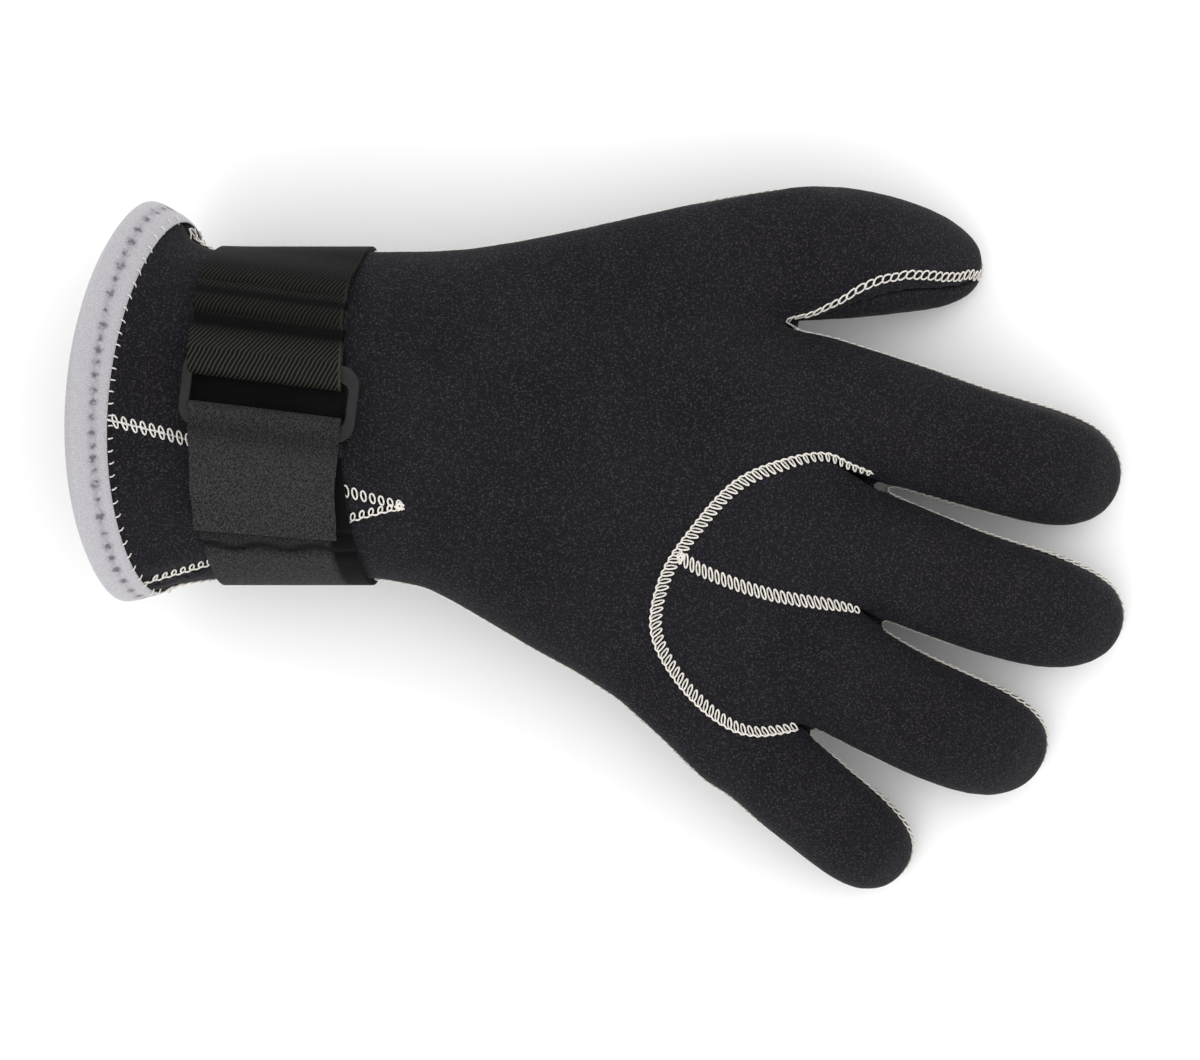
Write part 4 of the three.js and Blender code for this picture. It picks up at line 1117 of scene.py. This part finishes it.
CLEARANCE = 0.3 * MM
RING_SHIFT = Vector((1.0, 0, 0)) * MM  # towards the hand, against the webbing's edge
FOLD_BACK = 15 * MM
BAR_RAMP = 6 * MM
WEBBING_ROOT = radians(-65)
TAIL_ROOT = radians(245)
WEBBING_BAND = 6.3 * MM  # between the webbing's two sewn lines
WEBBING_STEP = 1.2 * MM
WEBBING_GROOVE = 0.6 * MM  # along its first sewn line
WEBBING_DIP = 0.4 * MM  # beside its second one
TWILL_SLOPE = -tan(radians(60))
ARC_STEPS = 90
OVER_STEPS = 24
TAIL_SKEW = 2.2 * MM
TAIL_TURN = 0.66  # the share of the tail's length at which it comes out of the ring
TAIL_LIFT = 1.6 * MM  # how far its free end stands off the run below,
LIFT_FROM = 0.72  # from this share of its upper run
TAIL_NARROWING = 2.7 * MM  # how much narrower it is at its free end,
NARROW_FROM = 0.72  # from this share of its length
WEBBING_GRID = (300, 24)  # facets along and across
TAIL_GRID = (260, 36)
RING_CORNER = 5 * MM
RING_EDGE = 0.8 * MM


def ring_height_z(values):
    """Height of the ring's middle: it lies on the tail's lower run."""
    top = WRIST_MIDDLE.y + WRIST_HALF.y
    return top + 2 * CLEARANCE + values.tail_thickness + values.ring_thickness / 2


def ring_y(values, across):
    """Where the ring's middle lies, at a place across the strap from its front edge."""
    return WRIST_MIDDLE.x + RING_FROM_AXIS + tan(values.turn) * (across - values.width / 2)


def arc(start, end, steps, offset):
    return [on_wrist(start + (end - start) * i / steps, offset) for i in range(steps + 1)]


def round_bar(values, bar_edge, side, thickness):
    """Half a turn round a bar of the ring, starting under it. Side is 1 for the lower bar."""
    radius = values.ring_thickness / 2 + CLEARANCE + thickness / 2
    turns = [pi * (i / 10 - 0.5) for i in range(11)]
    return [
        Vector((bar_edge + side * (radius * cos(turn) - values.ring_thickness / 2),
                ring_height_z(values) + radius * sin(turn)))
        for turn in turns]


def webbing_lines(values, across):
    """Where the webbing's two sewn lines lie, beside the ring's upper bar."""
    bar = ring_y(values, across) + values.ring_height / 2
    return bar + FOLD_BACK, bar + FOLD_BACK - WEBBING_BAND


def webbing_shade(values, across, point, _share):
    """Painted shade: dark in the webbing's two sewn lines, where it steps and dips, and more and more on its
    way from the ring over the wrist and down the thumb's side, which faces away from the light.
    """
    first, second = webbing_lines(values, across)
    # painted shade in and below the two sewn lines, and over the side turned from the light
    lines = hump(point.y, first - 0.5 * MM, 0.7 * MM) + hump(point.y, second - 1.6 * MM, 1.6 * MM)
    side = 0.85 * smoothstep(first + 1 * MM, first + 7 * MM, point.y)
    ahead = 0.5 * smoothstep(second - 9 * MM, second - 1 * MM, point.y)
    return min(1, lines + max(side, ahead))


def tail_end(values, across):
    """Where the tail's free end lies: it is cut a little askew."""
    bar_edge = ring_y(values, across) - values.ring_height / 2 + values.ring_bar
    return bar_edge - values.tail_length + TAIL_SKEW * (1 - across / values.width)


def tail_shade(values, across, point, share):
    """Dark on the lower run's bare edge, which is its own black; painted shade under the free end, in the
    lower run's fold and between them, and painted shadow below the ring on the upper run.
    """
    bar = ring_y(values, across) - values.ring_height / 2
    if share > TAIL_TURN:
        # painted shadow below the ring
        return 0.4 * hump(point.y, bar, 3.5 * MM)
    beyond = tail_end(values, across) - point.y
    edge = 1 - smoothstep(0.14, 0.18, across / values.width)
    fold = 4.4 * MM + 0.03 * across + 0.5 * MM * sin(across / (2.1 * MM))
    # painted shade in the gap under the free end and in the fold
    crease_shade = max(hump(beyond, 1.0 * MM, 1.9 * MM), hump(beyond, fold, 1.1 * MM))
    return max(edge, crease_shade, 0.3 * (1 - smoothstep(fold, fold + 1.5 * MM, beyond)))


def webbing_path(values, across):
    """From its root under the thumb's side, over the ring's upper bar and back under itself."""
    thickness = values.webbing_thickness
    low = CLEARANCE + thickness / 2
    high = low + thickness + CLEARANCE
    bar_edge = ring_y(values, across) + values.ring_height / 2 - values.ring_bar
    bar = bar_edge + values.ring_bar
    fold = angle_at(bar + FOLD_BACK)
    loop = round_bar(values, bar_edge, -1, thickness)[::-1]
    first_line, second_line = webbing_lines(values, across)

    def offset(y):
        rise = 1 - smoothstep(first_line + 2 * MM, first_line + 11 * MM, y)
        step = 1 - smoothstep(second_line - 0.35 * MM, second_line + 0.35 * MM, y)
        groove = hump(y, first_line, 0.5 * MM)
        dip = hump(y, second_line - 2.5 * MM, 2.5 * MM)
        raised = (high + WEBBING_STEP - low) * rise - WEBBING_STEP * step
        return low + raised - WEBBING_GROOVE * groove - WEBBING_DIP * dip

    ramp = angle_at(bar + BAR_RAMP)
    turns = [WEBBING_ROOT + (ramp - WEBBING_ROOT) * i / ARC_STEPS for i in range(ARC_STEPS + 1)]
    over = [on_wrist(turn, offset(on_wrist(turn, 0).x if turn > 0 else inf)) for turn in turns]
    return [*over, Vector((bar, loop[0].y)), *loop, *arc(angle_at(bar), fold + radians(2), 10, low)]


def tail_path(values, across):
    """From its root under the other side, through the ring from below and back over itself."""
    thickness = values.tail_thickness
    low = CLEARANCE + thickness / 2
    high = low + thickness + CLEARANCE
    bar_edge = ring_y(values, across) - values.ring_height / 2 + values.ring_bar
    bar = bar_edge - values.ring_bar
    loop = round_bar(values, bar_edge, 1, thickness)
    end = tail_end(values, across)
    under = [
        on_wrist(turn, low - crumple(across, on_wrist(turn, 0), end))
        for turn in (TAIL_ROOT + (angle_at(bar) - TAIL_ROOT) * i / ARC_STEPS for i in range(ARC_STEPS + 1))]
    ramp, last = angle_at(bar - BAR_RAMP), angle_at(end)
    over = []
    for i in range(OVER_STEPS + 1):
        share = i / OVER_STEPS
        lift = TAIL_LIFT * smoothstep(LIFT_FROM, 1, share)
        over.append(on_wrist(ramp + (last - ramp) * share, high + lift))
    return [*under, *loop, Vector((bar, loop[-1].y)), *over]


def crumple(across, place, end):
    """How far the tail's lower run is pressed in beyond the tail's free end: creases and a fold."""
    beyond = end - place.x
    if place.y < WRIST_MIDDLE.y or beyond < 0:
        return 0
    crease = hump(beyond, 4.6 * MM + 0.03 * across, 0.7 * MM) + hump(beyond, 0.4 * MM, 0.9 * MM)
    ripple = sin(across / (2.3 * MM) + 3 * sin(beyond / (2.9 * MM))) * hump(beyond, 4 * MM, 3 * MM)
    return 0.75 * MM * crease + 0.28 * MM * ripple


def band(name, values, path_at, shade_at, thickness, grid, narrowing=0):
    """A strap as a grid laid along a path for each place across, then given its thickness."""
    along_steps, across_steps = grid
    bm = bmesh.new()
    bmesh.ops.create_grid(bm, x_segments=along_steps, y_segments=across_steps, size=0.5)
    uv = bm.loops.layers.uv.new("UVMap")
    shade = bm.verts.layers.float.new("shade")
    paths = {}
    for k in range(across_steps + 1):
        across = values.width * k / across_steps
        line = [Vector((0, y, z)) for y, z in path_at(values, across)]
        length = line_length(line)
        paths[k] = (resampled(line, length / along_steps), length)
    for vert in bm.verts:
        k = round((vert.co.y + 0.5) * across_steps)
        i = round((vert.co.x + 0.5) * along_steps)
        line, length = paths[k]
        point = line[min(i, len(line) - 1)]
        for loop in vert.link_loops:
            loop[uv].uv = (values.width * k / across_steps, length * i / along_steps)
        share = k / across_steps
        inset = narrowing * smoothstep(NARROW_FROM, 1, i / along_steps) * (1 - share)
        vert[shade] = shade_at(values, values.width * share, point, i / along_steps)
        x = STRAP_FRONT - values.width * share - inset + wrist_lean(point.z)
        vert.co = Vector((x, point.y, point.z))
    bmesh.ops.recalc_face_normals(bm, faces=bm.faces)
    rounded = {"width": 0.3 * thickness, "segments": 2}
    at_edges = {"limit_method": "ANGLE", "angle_limit": radians(50)}
    return evaluated_mesh(name, to_mesh(name, bm), [
        ("SOLIDIFY", {"thickness": thickness, "offset": 0}),
        ("BEVEL", rounded | at_edges),
    ])


class GLOVE_OT_strap(bpy.types.Operator):
    """Builds the webbing, the hook-and-loop tail and the ring"""

    bl_idname = "glove.strap"
    bl_label = "Wrist Strap"

    def execute(self, context):
        values = settings(context, "strap")
        webbing = band(
            "twill_webbing", values, webbing_path, webbing_shade, values.webbing_thickness, WEBBING_GRID)
        finish_piece("twill_webbing", webbing, webbing_material(values), ["strap_webbing"])
        tail = band(
            "hook_and_loop_tail", values, tail_path, tail_shade, values.tail_thickness, TAIL_GRID,
            TAIL_NARROWING)
        finish_piece("hook_and_loop_tail", tail, tail_material(values), ["strap_tail"])
        self.ring(values)
        return {"FINISHED"}

    def ring(self, values):
        """A rounded frame of plastic: a plate with a slot, its corners and edges rounded."""
        name = "plastic_ring"
        bm = bmesh.new()
        bmesh.ops.create_grid(bm, x_segments=1, y_segments=1, size=0.5)
        bmesh.ops.scale(bm, vec=(values.ring_width, values.ring_height, 1), verts=bm.verts)
        bmesh.ops.bevel(
            bm, geom=bm.verts[:], offset=RING_CORNER, segments=6, profile=0.5, affect="VERTICES",
            material=-1)
        whole = next(iter(bm.faces))
        bmesh.ops.inset_region(
            bm, faces=[whole], thickness=values.ring_end_bar, use_even_offset=True, use_boundary=True)
        slot = values.ring_height - 2 * values.ring_bar
        inside = values.ring_height - 2 * values.ring_end_bar
        bmesh.ops.scale(bm, vec=(1, slot / inside, 1), verts=whole.verts[:])
        bmesh.ops.delete(bm, geom=[whole], context="FACES_ONLY")
        raised = bmesh.ops.extrude_face_region(bm, geom=bm.faces[:])
        top = [item for item in raised["geom"] if isinstance(item, bmesh.types.BMVert)]
        bmesh.ops.translate(bm, vec=(0, 0, values.ring_thickness), verts=top)
        bmesh.ops.translate(bm, vec=(0, 0, -values.ring_thickness / 2), verts=bm.verts)
        bmesh.ops.recalc_face_normals(bm, faces=bm.faces)
        sharp = [e for e in bm.edges if len(e.link_faces) == 2 and e.calc_face_angle(0) > radians(60)]
        bmesh.ops.bevel(
            bm, geom=sharp, offset=RING_EDGE, segments=4, profile=0.5, affect="EDGES", material=-1)
        place = Matrix.Translation(RING_MIDDLE + RING_SHIFT) @ Matrix.Rotation(-values.turn, 4, "Z")
        bmesh.ops.transform(bm, matrix=place, verts=bm.verts)
        finish_piece(name, to_mesh(name, bm), ring_material(values), ["strap_ring"])


# Stage

KEY_LIGHT = (-0.7, -1.1, 1.5), 1.2  # place and size, in metres
FILL_LIGHT = (0.6, 0.9, 2.4), 1.8
WORLD_STRENGTH = 1.2
FLOOR_SIZE = 3
FLOOR_PATCH = 1 / 3


class GLOVE_OT_stage(bpy.types.Operator):
    """Sets the pale floor, the soft studio lights and the camera above the glove"""

    bl_idname = "glove.stage"
    bl_label = "Stage"

    def execute(self, context):
        values = settings(context, "stage")
        self.floor(values)
        self.light("Key", *KEY_LIGHT, values.key_power)
        self.light("Fill", *FILL_LIGHT, values.fill_power)
        self.camera(context, values)
        world = bpy.data.worlds.new("Studio")
        world.use_nodes = True
        background = world.node_tree.nodes["Background"].inputs
        background["Color"].default_value = (1, 1, 1, 1)
        background["Strength"].default_value = WORLD_STRENGTH
        context.scene.world = world
        context.scene.view_settings.view_transform = "Standard"
        return {"FINISHED"}

    def floor(self, values):
        bm = bmesh.new()
        bmesh.ops.create_grid(bm, x_segments=1, y_segments=1, size=FLOOR_SIZE)
        floor_piece = bpy.data.objects.new("studio_floor", to_mesh("studio_floor", bm))
        bpy.context.scene.collection.objects.link(floor_piece)
        material, tree, principled = new_material("Studio floor", Roughness=0.9)
        patches = noise(tree, object_place(tree), FLOOR_PATCH)
        colour = two_colours(tree, patches, values.floor_colour, toned(values.floor_colour, 1.02))
        tree.links.new(colour, principled.inputs["Base Color"])
        floor_piece.data.materials.append(material)

    def light(self, name, place, size, power):
        lamp = bpy.data.lights.new(name, "AREA")
        lamp.size = size
        lamp.energy = power
        holder = bpy.data.objects.new(name, lamp)
        holder.location = place
        holder.rotation_euler = (-Vector(place)).to_track_quat("-Z", "Y").to_euler()
        bpy.context.scene.collection.objects.link(holder)

    def camera(self, context, values):
        camera = bpy.data.cameras.new("Camera")
        camera.sensor_fit = "HORIZONTAL"
        distance = values.camera_height - values.mid_height
        camera.lens = camera.sensor_width * distance / (PHOTO_WIDTH / PIXELS_PER_MM * MM)
        camera.clip_end = 20
        middle = Vector((PHOTO_WIDTH / 2, PHOTO_HEIGHT / 2)) - PHOTO_ORIGIN
        holder = bpy.data.objects.new("Camera", camera)
        holder.location = (
            middle.x / PIXELS_PER_MM * MM, -middle.y / PIXELS_PER_MM * MM, values.camera_height)
        context.scene.collection.objects.link(holder)
        context.scene.camera = holder


class GLOVE_PT_panel(bpy.types.Panel):
    """Lists the glove's pieces and sizes in the sidebar"""

    bl_idname = "GLOVE_PT_panel"
    bl_label = "Diving Glove"
    bl_space_type = "VIEW_3D"
    bl_region_type = "UI"
    bl_category = "Glove"

    def draw(self, context):
        for operator, group in PIECES:
            box = self.layout.box()
            box.operator(operator)
            if group:
                values = settings(context, group)
                for name in values.__annotations__:
                    box.prop(values, name)


PIECES = (
    ("glove.stage", "stage"),
    ("glove.neoprene", "neoprene"),
    ("glove.stitches", "stitches"),
    ("glove.binding", "binding"),
    ("glove.strap", "strap"),
)
GROUPS = {
    "neoprene": NeopreneSettings,
    "stitches": StitchSettings,
    "binding": BindingSettings,
    "strap": StrapSettings,
    "stage": StageSettings,
}
CLASSES = (
    *GROUPS.values(),
    GLOVE_OT_stage,
    GLOVE_OT_neoprene,
    GLOVE_OT_stitches,
    GLOVE_OT_binding,
    GLOVE_OT_strap,
    GLOVE_PT_panel,
)


def register():
    for made in CLASSES:
        bpy.utils.register_class(made)
    for name, group in GROUPS.items():
        setattr(bpy.types.Scene, "glove_" + name, PointerProperty(type=group))


def unregister():
    for name in GROUPS:
        delattr(bpy.types.Scene, "glove_" + name)
    for made in reversed(CLASSES):
        bpy.utils.unregister_class(made)


def main():
    register()
    bpy.ops.glove.stage()
    bpy.ops.glove.neoprene()
    bpy.ops.glove.stitches()
    bpy.ops.glove.binding()
    bpy.ops.glove.strap()


if __name__ == "__main__":
    main()
